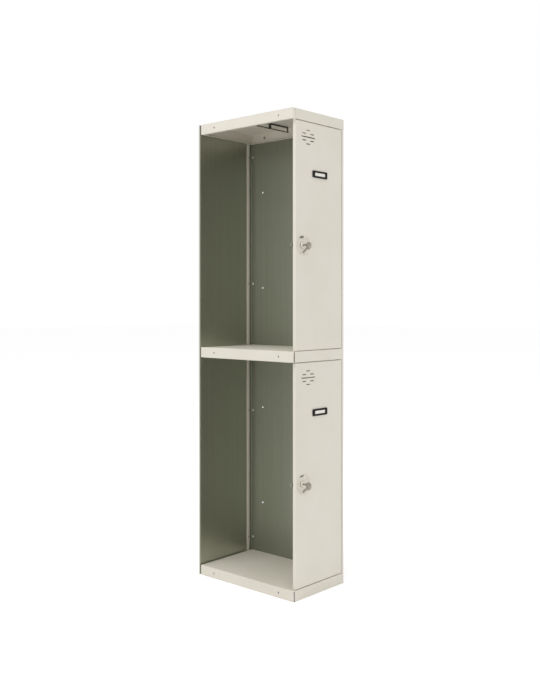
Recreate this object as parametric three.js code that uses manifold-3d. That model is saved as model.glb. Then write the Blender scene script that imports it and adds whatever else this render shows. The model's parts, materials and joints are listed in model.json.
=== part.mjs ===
// Add-on bay of a two-tier steel locker: folded sheet carcass, two doors, cam locks with keys
// Millimetres, +Z up, +X to the right along the front, +Y towards the rear

import * as THREE from 'three';
import { mergeVertices } from 'three/addons/utils/BufferGeometryUtils.js';
import Module from 'manifold-3d';

const wasm = await Module();
wasm.setup();

// Whole locker
const lockerWidth = 300;
const lockerDepth = 500;
const lockerHeight = 1800;
const shelfTop = 911;

// Sheet metal
const panelGauge = 0.8;
const trayGauge = 1;
const doorGauge = 1;
const bendRadius = 2.4;
const seatGap = 0.3;
const cutOverrun = 6;

// Trays: top tray, middle shelf and bottom tray
const trayRise = 40;
const shelfRise = 41;
const trayLip = 12;
const trayRearSetback = 14;
const cornerSlot = 5;
const cornerTabWidth = 12;
const cornerTabDrop = 5;
const boltHoleRadius = 3.5;
const boltHoleInset = 73.5;

// Right side panel
const stileWidth = 10.5;
const stileDepth = 12;
const stileLip = 5;
const rearFlangeWidth = 28;
const rearHemWidth = 15;
const rearHemGap = 0.3;
const spareHoleRadius = 3.5;
const spareHoleInset = 75;
const spareHolesFromEnds = [248, 649];

// Back panel
const backFlange = 7;
const backLip = 7;

// Rear edge screws, and plugs in the joining holes beside them
const rearFixingCount = 4;
const rearFixingFoot = 95;
const rearFixingHead = 94;
const hemNotchWidth = 11;
const hemNotchHeight = 15;
const rearScrewInset = 18;
const rearScrewRadius = 2;
const rearScrewHeadRadius = 4;
const rearScrewHeadHeight = 1.6;
const rearScrewReach = 4;
const plugInset = 19;
const plugRadius = 3.2;
const plugHeadRadius = 4.6;
const plugHeadHeight = 1.6;

// Tray bolts and nuts
const boltRadius = 3;
const boltHeadRadius = 6;
const boltHeadHeight = 2.8;
const nutFlats = 10;
const nutHeight = 5;
const boltTail = 1.2;

// Hanger rails under the top tray and the middle shelf
const railSpan = 220;
const railDrop = 24;
const railThickness = 2;
const railFlange = 12;
const railTopBar = 6;
const railBottomBar = 4;
const railEndPost = 8;
const railMiddlePost = 14;

// Doors
const doorDepth = 15;
const doorLip = 12;
const doorLeftInset = 12.5;
const doorHingeGap = 2.7;
const doorGap = 2.5;
const hingeInset = 6.3;
const hingeSetback = 6.5;

// Hinge pins and bushes
const pinRadius = 2.5;
const pinHeadRadius = 4;
const pinHeadHeight = 1.5;
const pinReach = 10;
const bushRadius = 3.7;
const bushFlangeRadius = 5;
const bushReach = 7;

// Vents: rows of slots that draw a diamond
const ventInset = 71.5;
const ventDrop = 56;
const ventPitch = 12.6;
const ventSlotLength = 22;
const ventSlotHeight = 3.4;
const ventLongSlot = 80;
const ventSlotOffset = 22.5;

// Card holder and card
const holderInset = 138.5;
const holderDrop = 188.5;
const holderWidth = 86;
const holderHeight = 26;
const holderThickness = 3.2;
const holderCorner = 4.5;
const holderWall = 1.2;
const windowWidth = 60;
const windowHeight = 12;
const windowCorner = 2;
const cardWidth = 66;
const cardHeight = 17;
const cardThickness = 0.5;
const pegRadius = 1.6;
const pegSpacing = 74;
const pegReach = 3;

// Stiffener up the inside of a door
const stiffenerInset = 62;
const stiffenerCrown = 34;
const stiffenerFoot = 13;

// Pressed dish and finger slot, placed from a door's left edge and its mid height
const lockInset = 45.5;
const lockBelowMiddle = 34.5;
const dishRadius = 39;
const dishFloorRadius = 31;
const dishDepth = 8;
const fingerSlotWidth = 24;
const fingerSlotHeight = 8.5;
const fingerSlotOffset = 3.5;
const fingerSlotRise = 29.5;

// Lock
const rosetteRadius = 12;
const rosetteFaceRadius = 9.5;
const rosetteHeight = 7;
const barrelRadius = 9.5;
const barrelReach = 11;
const lockNutFlats = 25;
const lockNutHeight = 5;
const plugFaceProud = 0.8;
const lockPlugRadius = 6;
const plugSquare = 8;
const plugSquareLength = 3.2;
const studRadius = 3;
const studLength = 4.4;
const keywayWidth = 2.8;
const keywayHeight = 8.8;
const keywayDepth = 16;
const camLength = 48;
const camWidth = 16;
const camTail = 8;
const camThickness = 2.4;
const camNutFlats = 10;
const camNutHeight = 3.4;

// Keys and their ring
const keyThickness = 2.2;
const bladeLength = 24;
const bladeHeight = 8;
const bladeTip = 3;
const toothDepth = 1.6;
const toothPitch = 4.4;
const bowLength = 24;
const bowHeight = 22;
const bowShoulder = 5;
const keyHoleRadius = 2.4;
const keyHoleInset = 4.6;
const keyInsertion = 12;
const keySideGap = 0.4;
const ringRadius = 6.5;
const ringWireRadius = 0.7;
const spareKeyTilt = THREE.MathUtils.degToRad(52);
const ringTilt = THREE.MathUtils.degToRad(-30);

// Shapes drawn as shares of the sizes that they follow: (across, along) pairs
const boltDomeShares = [[1, 0], [0.86, 0.62], [0.5, 0.93], [0, 1]];
const softRimShare = 0.5;
const crownShare = 0.65;
const rosetteWallShare = 0.6;
const bowNeckShare = 0.62;
const toothFlankShare = 0.33;

// Facets of round shapes
const bendSteps = 3;
const smallFacets = 16;
const roundFacets = 32;
const dishFacets = 40;
const ringFacets = 24;
const ringWireFacets = 8;

// Levels and faces worked out from the sizes above
const right = lockerWidth / 2;
const left = -right;
const rear = lockerDepth / 2;
const front = -rear;
const skinInner = right - panelGauge;
const stileEdge = right - stileWidth;
const trayRight = skinInner - seatGap;
const trayRear = rear - trayRearSetback;
const topTrayBottom = lockerHeight - trayRise;
const shelfBottom = shelfTop - shelfRise;
const backFront = rear - backFlange;
const rearFlangeFace = backFront - seatGap;
const boltHoleFront = front + boltHoleInset;
const boltHoleRear = trayRear - boltHoleInset;
const panelTop = lockerHeight - trayGauge - seatGap;
const rearFixingPitch = (lockerHeight - rearFixingFoot - rearFixingHead) / (rearFixingCount - 1);
const doorLeft = left + doorLeftInset;
const doorRight = stileEdge - doorHingeGap;
const doorRear = front + doorDepth;
const hingeX = doorRight - hingeInset;
const hingeY = front + hingeSetback;
const lockX = doorLeft + lockInset;
const dishFloor = front + dishDepth;
const rosetteFace = dishFloor - seatGap - rosetteHeight;
const plugFace = rosetteFace - plugFaceProud;
const barrelEnd = dishFloor + doorGauge + barrelReach;
const keyLength = bladeLength + bowLength;
const keyTipY = plugFace + keyInsertion;
const keyHoleY = keyTipY - keyLength + keyHoleInset;
const ringReach = keyThickness + keySideGap / 2;
const ringSag = ringRadius - Math.sqrt(ringRadius ** 2 - ringReach ** 2);
const ringSeat = keyHoleRadius - ringWireRadius - seatGap - ringSag;

// Solids from three.js geometry

function solidOf(geometry) {
  const bare = geometry.index ? geometry.toNonIndexed() : geometry.clone();
  bare.deleteAttribute('normal');
  bare.deleteAttribute('uv');
  const merged = mergeVertices(bare);
  return new wasm.Manifold(new wasm.Mesh({
    numProp: 3,
    vertProperties: new Float32Array(merged.attributes.position.array),
    triVerts: new Uint32Array(merged.index.array),
  }));
}

function geometryOf(solid) {
  const mesh = solid.getMesh();
  const geometry = new THREE.BufferGeometry();
  geometry.setAttribute('position', new THREE.BufferAttribute(mesh.vertProperties, 3));
  geometry.setIndex(new THREE.BufferAttribute(mesh.triVerts, 1));
  geometry.computeVertexNormals();
  return geometry;
}

// A box between two corners
function block([x0, y0, z0], [x1, y1, z1]) {
  const box = new THREE.BoxGeometry(x1 - x0, y1 - y0, z1 - z0);
  return solidOf(box.translate((x0 + x1) / 2, (y0 + y1) / 2, (z0 + z1) / 2));
}

// Turns a solid drawn along Z so that it runs along X or Y
function alongX(geometry) {
  return geometry.rotateZ(Math.PI / 2).rotateY(Math.PI / 2);
}

function alongY(geometry) {
  return geometry.rotateX(-Math.PI / 2);
}

// A turned solid about Z from (radius, height) pairs that start and end on the axis
function turned(profile, facets) {
  const points = profile.map(([radius, height]) => new THREE.Vector2(radius, height));
  return new THREE.LatheGeometry(points, facets).rotateX(Math.PI / 2);
}

// A plain rod about Z
function rod(radius, from, to, facets) {
  return turned([[0, from], [radius, from], [radius, to], [0, to]], facets);
}

function extruded(shape, from, to) {
  const geometry = new THREE.ExtrudeGeometry(shape, {
    depth: to - from,
    bevelEnabled: false,
    curveSegments: bendSteps,
  });
  return geometry.translate(0, 0, from);
}

// A hexagon across its flats
function hexagon(flats) {
  const shape = new THREE.Shape();
  const corner = flats / 2 / Math.cos(Math.PI / 6);
  for (let side = 0; side < 6; side += 1) {
    const turn = (side * Math.PI) / 3;
    const [x, y] = [corner * Math.cos(turn), corner * Math.sin(turn)];
    if (side === 0) shape.moveTo(x, y);
    else shape.lineTo(x, y);
  }
  return shape;
}

// A rectangle with round corners, centred on the origin
function roundedRectangle(width, height, corner) {
  const shape = new THREE.Shape();
  const [x, y] = [width / 2, height / 2];
  shape.moveTo(-x + corner, -y);
  shape.lineTo(x - corner, -y);
  shape.absarc(x - corner, -y + corner, corner, -Math.PI / 2, 0);
  shape.lineTo(x, y - corner);
  shape.absarc(x - corner, y - corner, corner, 0, Math.PI / 2);
  shape.lineTo(-x + corner, y);
  shape.absarc(-x + corner, y - corner, corner, Math.PI / 2, Math.PI);
  shape.lineTo(-x, -y + corner);
  shape.absarc(-x + corner, -y + corner, corner, Math.PI, (3 * Math.PI) / 2);
  return shape;
}

// One side of a folded sheet's section: the corners moved by an offset to the left, with round bends
function sheetLine(corners, offset, gauge) {
  const points = corners.map(([x, y]) => new THREE.Vector2(x, y));
  const line = [];
  points.forEach((corner, index) => {
    const before = points[index - 1];
    const after = points[index + 1];
    const arriving = (before ? corner.clone().sub(before) : after.clone().sub(corner)).normalize();
    const leaving = (after ? after.clone().sub(corner) : corner.clone().sub(before)).normalize();
    const arrivingLeft = new THREE.Vector2(-arriving.y, arriving.x);
    const leavingLeft = new THREE.Vector2(-leaving.y, leaving.x);
    const moved = corner.clone().addScaledVector(arrivingLeft, offset);
    if (!before || !after) {
      line.push(moved);
      return;
    }
    moved.addScaledVector(leavingLeft, offset);
    const turnsLeft = arriving.cross(leaving) > 0;
    const room = Math.min(corner.distanceTo(before), corner.distanceTo(after)) / 2;
    const outer = Math.min(bendRadius, turnsLeft ? room : room + gauge);
    const radius = turnsLeft ? outer - offset : outer - gauge + offset;
    const centre = moved.clone();
    centre.addScaledVector(arriving, -radius).addScaledVector(leaving, radius);
    const start = moved.clone().addScaledVector(arriving, -radius).sub(centre);
    const sweep = turnsLeft ? Math.PI / 2 : -Math.PI / 2;
    for (let step = 0; step <= bendSteps; step += 1) {
      const spoke = start.clone().rotateAround(new THREE.Vector2(), (sweep * step) / bendSteps);
      line.push(spoke.add(centre));
    }
  });
  return line;
}

// A folded sheet, drawn in plan and run up Z, with the sheet to the left of its corners
function foldedSheet(corners, gauge, from, to) {
  const face = sheetLine(corners, 0, gauge);
  const back = sheetLine(corners, gauge, gauge).reverse();
  return solidOf(extruded(new THREE.Shape([...face, ...back]), from, to));
}

// A box whose edges along X and Y are bent round
function roundEdgedBox([x0, y0, z0], [x1, y1, z1], radius) {
  const frontView = extruded(roundedRectangle(x1 - x0, z1 - z0, radius), y0, y1);
  const sideView = extruded(roundedRectangle(y1 - y0, z1 - z0, radius), x0, x1);
  alongY(frontView).translate((x0 + x1) / 2, 0, (z0 + z1) / 2);
  alongX(sideView).translate(0, (y0 + y1) / 2, (z0 + z1) / 2);
  return solidOf(frontView).intersect(solidOf(sideView));
}

// A folded pan: a plate on top, a flange down each side and a lip turned in under each flange
function pan([x0, y0, z0], [x1, y1, z1], gauge, lip) {
  const outer = roundEdgedBox([x0, y0, z0], [x1, y1, z1], bendRadius);
  const inner = roundEdgedBox(
    [x0 + gauge, y0 + gauge, z0 + gauge],
    [x1 - gauge, y1 - gauge, z1 - gauge],
    bendRadius - gauge,
  );
  const mouth = block(
    [x0 + lip, y0 + lip, z0 - cutOverrun],
    [x1 - lip, y1 - lip, z0 + gauge + bendRadius],
  );
  return outer.subtract(inner).subtract(mouth);
}

// A round cut that runs along X, Y or Z
function holeAlongX(radius, x0, x1, y, z) {
  return solidOf(alongX(rod(radius, x0, x1, smallFacets)).translate(0, y, z));
}

function holeAlongZ(radius, z0, z1, x, y) {
  return solidOf(rod(radius, z0, z1, smallFacets).translate(x, y, 0));
}

// Materials

function paintedSheet() {
  return new THREE.MeshStandardMaterial({ color: 0xd8d4c8, roughness: 0.42, metalness: 0 });
}

function coatedSheet() {
  return new THREE.MeshStandardMaterial({ color: 0x80837a, roughness: 0.4, metalness: 0.35 });
}

function zincSteel() {
  return new THREE.MeshStandardMaterial({ color: 0xb9b9b4, roughness: 0.35, metalness: 0.9 });
}

function nickelSteel() {
  return new THREE.MeshStandardMaterial({ color: 0xa9a59c, roughness: 0.28, metalness: 1 });
}

function blackPlastic() {
  return new THREE.MeshStandardMaterial({ color: 0x17130f, roughness: 0.5, metalness: 0 });
}

function paleNylon() {
  return new THREE.MeshStandardMaterial({ color: 0xd9d8cf, roughness: 0.55, metalness: 0 });
}

function cardStock() {
  return new THREE.MeshStandardMaterial({ color: 0xefece4, roughness: 0.85, metalness: 0 });
}

function darkStrap() {
  return new THREE.MeshStandardMaterial({ color: 0x4a463c, roughness: 0.5, metalness: 0.2 });
}

function named(name, solid, material) {
  const mesh = new THREE.Mesh(geometryOf(solid), material);
  mesh.name = name;
  return mesh;
}

// Carcass

// Side panel: front stile, skin, and a rear flange with a hem folded forward on it
function rightSidePanel() {
  const stileRear = front + stileDepth;
  const hemFace = rearFlangeFace - 2 * panelGauge - rearHemGap;
  const flangeEdge = right - rearFlangeWidth;
  const outline = [
    [stileEdge + stileLip, stileRear],
    [stileEdge, stileRear],
    [stileEdge, front],
    [right, front],
    [right, rearFlangeFace],
    [flangeEdge, rearFlangeFace],
    [flangeEdge, hemFace],
    [flangeEdge + rearHemWidth, hemFace],
  ];
  let panel = foldedSheet(outline, panelGauge, 0, panelTop);
  const stileTop = topTrayBottom - seatGap;
  const trayFrontInner = front + trayGauge + seatGap;
  panel = panel.subtract(block(
    [stileEdge - cutOverrun, front - cutOverrun, stileTop],
    [skinInner, stileRear + cutOverrun, lockerHeight + cutOverrun],
  ));
  panel = panel.subtract(block(
    [stileEdge - cutOverrun, front - cutOverrun, stileTop],
    [right + cutOverrun, trayFrontInner, lockerHeight + cutOverrun],
  ));
  const through = (radius, y, z) => holeAlongX(radius, trayRight, right + cutOverrun, y, z);
  for (const fromEnd of spareHolesFromEnds) {
    for (const height of [fromEnd, lockerHeight - fromEnd]) {
      panel = panel.subtract(through(spareHoleRadius, rear - spareHoleInset, height));
      panel = panel.subtract(through(spareHoleRadius, front + spareHoleInset, height));
    }
  }
  for (const height of rearFixingHeights()) {
    panel = panel.subtract(through(plugRadius + seatGap, rear - plugInset, height));
    const notchLow = height - hemNotchHeight / 2;
    panel = panel.subtract(block(
      [flangeEdge + rearHemWidth - hemNotchWidth, hemFace - cutOverrun, notchLow],
      [flangeEdge + rearHemWidth + seatGap, hemFace + panelGauge + rearHemGap / 2, notchLow + hemNotchHeight],
    ));
    panel = panel.subtract(rearScrewHole(height));
  }
  for (const height of trayBoltHeights()) {
    panel = panel.subtract(through(boltHoleRadius, boltHoleFront, height));
    panel = panel.subtract(through(boltHoleRadius, boltHoleRear, height));
  }
  return named('right_side_panel', panel, coatedSheet());
}

function trayBoltHeights() {
  return [lockerHeight - trayRise / 2, shelfTop - shelfRise / 2, trayRise / 2];
}

function rearFixingHeights() {
  return Array.from({ length: rearFixingCount }, (_, place) => rearFixingFoot + place * rearFixingPitch);
}

function rearScrewHole(height) {
  const geometry = alongY(rod(rearScrewRadius + seatGap, rearFlangeFace - rearHemWidth, rear, smallFacets));
  return solidOf(geometry.translate(right - rearScrewInset, 0, height));
}

// Back panel: a flat sheet with a flange and lip turned back at each side
function backPanel() {
  const flangeX = right - panelGauge;
  const sheetRear = backFront + panelGauge;
  const lipFace = rear - panelGauge;
  const outline = [
    [right - backLip, lipFace],
    [flangeX, lipFace],
    [flangeX, sheetRear],
    [-flangeX, sheetRear],
    [-flangeX, lipFace],
    [-right + backLip, lipFace],
  ];
  let panel = foldedSheet(outline, panelGauge, 0, panelTop);
  for (const height of rearFixingHeights()) {
    panel = panel.subtract(rearScrewHole(height));
  }
  return named('back_panel', panel, coatedSheet());
}

// Bolt holes in the two side flanges of a tray
function cutBoltHoles(tray, height) {
  let cut = tray;
  for (const y of [boltHoleFront, boltHoleRear]) {
    cut = cut.subtract(holeAlongX(boltHoleRadius, left - cutOverrun, left + cutOverrun, y, height));
    cut = cut.subtract(holeAlongX(boltHoleRadius, trayRight - cutOverrun, right, y, height));
  }
  return cut;
}

function pinHole(from, to) {
  return holeAlongZ(pinRadius + seatGap, from, to, hingeX, hingeY);
}

// Room for the side panel's stile at the front right corner of the two lower trays
function stileNotch(from, to) {
  return block(
    [stileEdge - seatGap, front - cutOverrun, from - cutOverrun],
    [right + cutOverrun, front + stileDepth + seatGap, to + cutOverrun],
  );
}

// Top tray: its plate covers the side and back panels and its front flange runs the full width
function topTray() {
  const low = topTrayBottom;
  const plateBottom = lockerHeight - trayGauge;
  let tray = pan([left, front, low], [trayRight, trayRear, lockerHeight], trayGauge, trayLip);
  tray = tray.add(block([left, front + bendRadius, plateBottom], [right, rear, lockerHeight]));
  const capStart = trayRight - trayLip;
  const cap = roundEdgedBox([capStart, front, low], [right, trayRear, lockerHeight], bendRadius);
  tray = tray.add(cap.intersect(block(
    [capStart, front, low + bendRadius],
    [right, front + trayGauge, lockerHeight],
  )));
  const tabRight = left + cornerTabWidth;
  const tabRear = front + 2 * trayGauge;
  tray = tray.subtract(block(
    [left - cutOverrun, front - cutOverrun, low - cutOverrun],
    [tabRight, front + trayGauge, plateBottom - bendRadius],
  ));
  tray = tray.add(block([left, front + trayGauge, low], [tabRight + trayGauge, tabRear, plateBottom]));
  tray = tray.add(block([left, front + trayGauge, low - cornerTabDrop], [tabRight, tabRear, plateBottom]));
  tray = cutBoltHoles(tray, lockerHeight - trayRise / 2);
  tray = tray.subtract(pinHole(low - cutOverrun, low + cutOverrun));
  return named('top_tray', tray, paintedSheet());
}

// Middle shelf and bottom tray share one form
function lowerTray(name, top, rise) {
  const low = top - rise;
  let tray = pan([left, front, low], [trayRight, trayRear, top], trayGauge, trayLip);
  tray = tray.subtract(stileNotch(low, top));
  tray = tray.subtract(block(
    [left + trayGauge, front - cutOverrun, low - cutOverrun],
    [left + trayGauge + cornerSlot, front + trayLip, top - trayGauge],
  ));
  tray = cutBoltHoles(tray, top - rise / 2);
  tray = tray.subtract(pinHole(low - cutOverrun, top + cutOverrun));
  return named(name, tray, paintedSheet());
}

// Hanger rail: a strip on edge under a tray's plate, with two long windows and a flange to fix it by
function hangerRail(name, plateBottom) {
  const high = plateBottom - seatGap;
  const low = plateBottom - railDrop;
  const half = railSpan / 2;
  const [face, back] = [-railThickness / 2, railThickness / 2];
  let rail = block([-half, face, low], [half, back, high]);
  rail = rail.add(block([-half, face, high - railThickness], [half, face + railFlange, high]));
  for (const side of [-1, 1]) {
    const inner = (side * railMiddlePost) / 2;
    const outer = side * (half - railEndPost);
    rail = rail.subtract(block(
      [Math.min(inner, outer), face - cutOverrun, low + railBottomBar],
      [Math.max(inner, outer), back + cutOverrun, high - railTopBar],
    ));
  }
  return named(name, rail, darkStrap());
}

// Bolt through a tray's right flange and the side panel, with a domed head outside
function trayBolt(name, y, z) {
  const seat = right + seatGap;
  const tail = trayRight - trayGauge - seatGap - nutHeight - boltTail;
  const dome = boltDomeShares.map(([across, along]) => [
    boltHeadRadius * across,
    seat + boltHeadHeight * along,
  ]);
  const profile = [[0, tail], [boltRadius, tail], [boltRadius, seat], ...dome];
  const mesh = named(name, solidOf(alongX(turned(profile, smallFacets))), zincSteel());
  mesh.position.set(0, y, z);
  return mesh;
}

function trayNut(name, y, z) {
  const high = trayRight - trayGauge - seatGap;
  let nut = solidOf(alongX(extruded(hexagon(nutFlats), high - nutHeight, high)));
  nut = nut.subtract(holeAlongX(boltRadius + seatGap, high - nutHeight - cutOverrun, right, 0, 0));
  const mesh = named(name, nut, zincSteel());
  mesh.position.set(0, y, z);
  return mesh;
}

// Screw through the side panel's rear flange and the back panel, its head in the hem's notch
function rearScrew(name, z) {
  const seat = rearFlangeFace - panelGauge - seatGap;
  const head = seat - rearScrewHeadHeight;
  const tip = backFront + panelGauge + rearScrewReach;
  const profile = [
    [0, head],
    [rearScrewHeadRadius * crownShare, head],
    [rearScrewHeadRadius, head + rearScrewHeadHeight * softRimShare],
    [rearScrewHeadRadius, seat],
    [rearScrewRadius, seat],
    [rearScrewRadius, tip - rearScrewRadius],
    [0, tip],
  ];
  const mesh = named(name, solidOf(alongY(turned(profile, smallFacets))), zincSteel());
  mesh.position.set(right - rearScrewInset, 0, z);
  return mesh;
}

// Push-in plug that closes a joining hole beside the rear flange
function joiningPlug(name, z) {
  const seat = skinInner - seatGap;
  const profile = [
    [0, seat - plugHeadHeight],
    [plugHeadRadius * crownShare, seat - plugHeadHeight],
    [plugHeadRadius, seat - plugHeadHeight * softRimShare],
    [plugHeadRadius, seat],
    [plugRadius, seat],
    [plugRadius, right],
    [0, right],
  ];
  const mesh = named(name, solidOf(alongX(turned(profile, smallFacets))), paleNylon());
  mesh.position.set(0, rear - plugInset, z);
  return mesh;
}

// Hinge pin: its head bears on a sheet and its shank runs up or down into the door
function hingePin(name, sheetFace, gauge, upwards) {
  const sense = upwards ? 1 : -1;
  const headSeat = sheetFace - sense * (gauge + seatGap);
  const end = sheetFace + sense * (doorGap + pinReach);
  const profile = [
    [0, headSeat - sense * pinHeadHeight],
    [pinHeadRadius, headSeat - sense * pinHeadHeight],
    [pinHeadRadius, headSeat],
    [pinRadius, headSeat],
    [pinRadius, end],
    [0, end],
  ];
  if (!upwards) profile.reverse();
  const mesh = named(name, solidOf(turned(profile, smallFacets)), zincSteel());
  mesh.position.set(hingeX, hingeY, 0);
  return mesh;
}

// Doors

// Flanged bush in a door's top or bottom return
function hingeBush(name, doorEdge, atTop) {
  const sense = atTop ? 1 : -1;
  const bore = pinRadius + seatGap;
  const flangeLow = doorEdge + sense * seatGap;
  const flangeHigh = doorEdge + sense * (doorGap - seatGap);
  const end = doorEdge - sense * bushReach;
  const profile = [
    [bore, end],
    [bushRadius, end],
    [bushRadius, flangeLow],
    [bushFlangeRadius, flangeLow],
    [bushFlangeRadius, flangeHigh],
    [bore, flangeHigh],
    [bore, end],
  ];
  if (!atTop) profile.reverse();
  const mesh = named(name, solidOf(turned(profile, smallFacets)), paleNylon());
  mesh.position.set(hingeX, hingeY, 0);
  return mesh;
}

// Door pan, drawn flat with its face up: x to the right, y up the door, z out of its face
function doorPanel(name, low, high) {
  const width = doorRight - doorLeft;
  const height = high - low;
  const face = doorDepth;
  const [x0, y1] = [-width / 2, height / 2];
  let door = pan([x0, -y1, 0], [-x0, y1, face], doorGauge, doorLip);

  const dishX = x0 + lockInset;
  const dishY = -lockBelowMiddle;
  const floor = face - dishDepth;
  const shell = turned([
    [0, floor - doorGauge],
    [dishFloorRadius + doorGauge / 2, floor - doorGauge],
    [dishRadius + doorGauge, face - doorGauge / 2],
    [0, face - doorGauge / 2],
  ], dishFacets);
  const hollow = turned([
    [0, floor],
    [dishFloorRadius, floor],
    [dishRadius, face],
    [dishRadius, face + cutOverrun],
    [0, face + cutOverrun],
  ], dishFacets);
  door = door.add(solidOf(shell.translate(dishX, dishY, 0)));
  door = door.subtract(solidOf(hollow.translate(dishX, dishY, 0)));
  door = door.subtract(holeAlongZ(barrelRadius + seatGap, 0, face, dishX, dishY));

  const slot = (x, y, length, slotHeight) => block(
    [x - length / 2, y - slotHeight / 2, floor - 2 * doorGauge],
    [x + length / 2, y + slotHeight / 2, face + cutOverrun],
  );
  const slotX = dishX - fingerSlotOffset;
  door = door.subtract(slot(slotX, dishY + fingerSlotRise, fingerSlotWidth, fingerSlotHeight));

  const ventX = x0 + ventInset;
  const ventY = y1 - ventDrop;
  const ventRows = [[-2, [0]], [-1, [-1, 1]], [1, [-1, 1]], [2, [0]]];
  door = door.subtract(slot(ventX, ventY, ventLongSlot, ventSlotHeight));
  for (const [row, places] of ventRows) {
    for (const place of places) {
      const x = ventX + place * ventSlotOffset;
      door = door.subtract(slot(x, ventY + row * ventPitch, ventSlotLength, ventSlotHeight));
    }
  }

  const pegHoleRadius = pegRadius + seatGap;
  for (const side of [-1, 1]) {
    const x = x0 + holderInset + (side * pegSpacing) / 2;
    door = door.subtract(holeAlongZ(pegHoleRadius, floor, face + cutOverrun, x, y1 - holderDrop));
  }
  for (const end of [-1, 1]) {
    const edge = end * y1;
    const bushHole = alongY(rod(bushRadius + seatGap, -cutOverrun, cutOverrun, smallFacets));
    bushHole.translate(-x0 - hingeInset, edge, face - hingeSetback);
    door = door.subtract(solidOf(bushHole));
  }

  const mesh = named(name, door, paintedSheet());
  mesh.rotation.x = Math.PI / 2;
  mesh.position.set((doorLeft + doorRight) / 2, doorRear, (low + high) / 2);
  return mesh;
}

// Hat-section stiffener up the inside of a door
function doorStiffener(name, low, high) {
  const base = front + doorGauge + seatGap;
  const crown = doorRear - doorGauge - seatGap;
  const centre = doorRight - stiffenerInset;
  const half = stiffenerCrown / 2;
  const outline = [
    [centre + half + stiffenerFoot, base + panelGauge],
    [centre + half, base + panelGauge],
    [centre + half, crown],
    [centre - half, crown],
    [centre - half, base + panelGauge],
    [centre - half - stiffenerFoot, base + panelGauge],
  ];
  const end = bendRadius + seatGap;
  return named(name, foldedSheet(outline, panelGauge, low + end, high - end), paintedSheet());
}

// Card holder: a black frame with a window, a pocket behind it and two pegs
function cardHolder(name, high) {
  const back = seatGap;
  const face = back + holderThickness;
  const pocketTop = face - holderWall;
  let holder = solidOf(extruded(roundedRectangle(holderWidth, holderHeight, holderCorner), back, face));
  const windowCut = extruded(roundedRectangle(windowWidth, windowHeight, windowCorner), 0, face + cutOverrun);
  holder = holder.subtract(solidOf(windowCut));
  const pocketWidth = cardWidth + 2 * seatGap;
  const pocketHeight = cardHeight + 2 * seatGap;
  holder = holder.subtract(block(
    [-pocketWidth / 2, -pocketHeight / 2, -cutOverrun],
    [pocketWidth / 2, pocketHeight / 2, pocketTop],
  ));
  for (const side of [-1, 1]) {
    holder = holder.add(holeAlongZ(pegRadius, -pegReach, face - holderWall, (side * pegSpacing) / 2, 0));
  }
  const mesh = named(name, holder, blackPlastic());
  mesh.rotation.x = Math.PI / 2;
  mesh.position.set(doorLeft + holderInset, front, high - holderDrop);
  return mesh;
}

function nameCard(name, high) {
  const top = holderThickness + seatGap - holderWall - seatGap;
  const card = block(
    [-cardWidth / 2, -cardHeight / 2, top - cardThickness],
    [cardWidth / 2, cardHeight / 2, top],
  );
  const mesh = named(name, card, cardStock());
  mesh.rotation.x = Math.PI / 2;
  mesh.position.set(doorLeft + holderInset, front, high - holderDrop);
  return mesh;
}

// Lock, drawn about the Y axis

function lockBody(name) {
  const bore = lockPlugRadius + seatGap;
  const profile = [
    [bore, rosetteFace],
    [rosetteFaceRadius, rosetteFace],
    [rosetteRadius, rosetteFace + rosetteHeight * rosetteWallShare],
    [rosetteRadius, dishFloor - seatGap],
    [barrelRadius, dishFloor - seatGap],
    [barrelRadius, barrelEnd],
    [bore, barrelEnd],
    [bore, rosetteFace],
  ];
  return named(name, solidOf(alongY(turned(profile, roundFacets))), nickelSteel());
}

function lockNut(name) {
  const low = dishFloor + doorGauge + seatGap;
  const high = low + lockNutHeight;
  const nut = solidOf(alongY(extruded(hexagon(lockNutFlats), low, high)));
  const hole = alongY(rod(barrelRadius + seatGap, low - cutOverrun, high + cutOverrun, roundFacets));
  return named(name, nut.subtract(solidOf(hole)), zincSteel());
}

// Plug: a cylinder with a keyway in its face, then a square and a stud that carry the cam
function lockPlug(name) {
  const squareEnd = barrelEnd + plugSquareLength;
  let plug = solidOf(alongY(rod(lockPlugRadius, plugFace, barrelEnd, roundFacets)));
  plug = plug.add(block(
    [-plugSquare / 2, barrelEnd - seatGap, -plugSquare / 2],
    [plugSquare / 2, squareEnd, plugSquare / 2],
  ));
  plug = plug.add(solidOf(alongY(rod(studRadius, squareEnd - seatGap, squareEnd + studLength, smallFacets))));
  plug = plug.subtract(block(
    [-keywayWidth / 2, plugFace - cutOverrun, -keywayHeight / 2],
    [keywayWidth / 2, plugFace + keywayDepth, keywayHeight / 2],
  ));
  return named(name, plug, nickelSteel());
}

// Cam: a bar with a round end that reaches past the door's edge
function lockCam(name) {
  const shape = new THREE.Shape();
  const half = camWidth / 2;
  shape.moveTo(camTail, half);
  shape.lineTo(-camLength + half, half);
  shape.absarc(-camLength + half, 0, half, Math.PI / 2, (3 * Math.PI) / 2);
  shape.lineTo(camTail, -half);
  const low = barrelEnd + seatGap;
  const opening = plugSquare / 2 + seatGap;
  const cam = solidOf(alongY(extruded(shape, low, low + camThickness)));
  return named(name, cam.subtract(block(
    [-opening, low - cutOverrun, -opening],
    [opening, low + cutOverrun, opening],
  )), zincSteel());
}

function camNut(name) {
  const low = barrelEnd + plugSquareLength + seatGap;
  const nut = solidOf(alongY(extruded(hexagon(camNutFlats), low, low + camNutHeight)));
  const hole = alongY(rod(studRadius + seatGap, low - cutOverrun, low + cutOverrun, smallFacets));
  return named(name, nut.subtract(solidOf(hole)), zincSteel());
}

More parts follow.
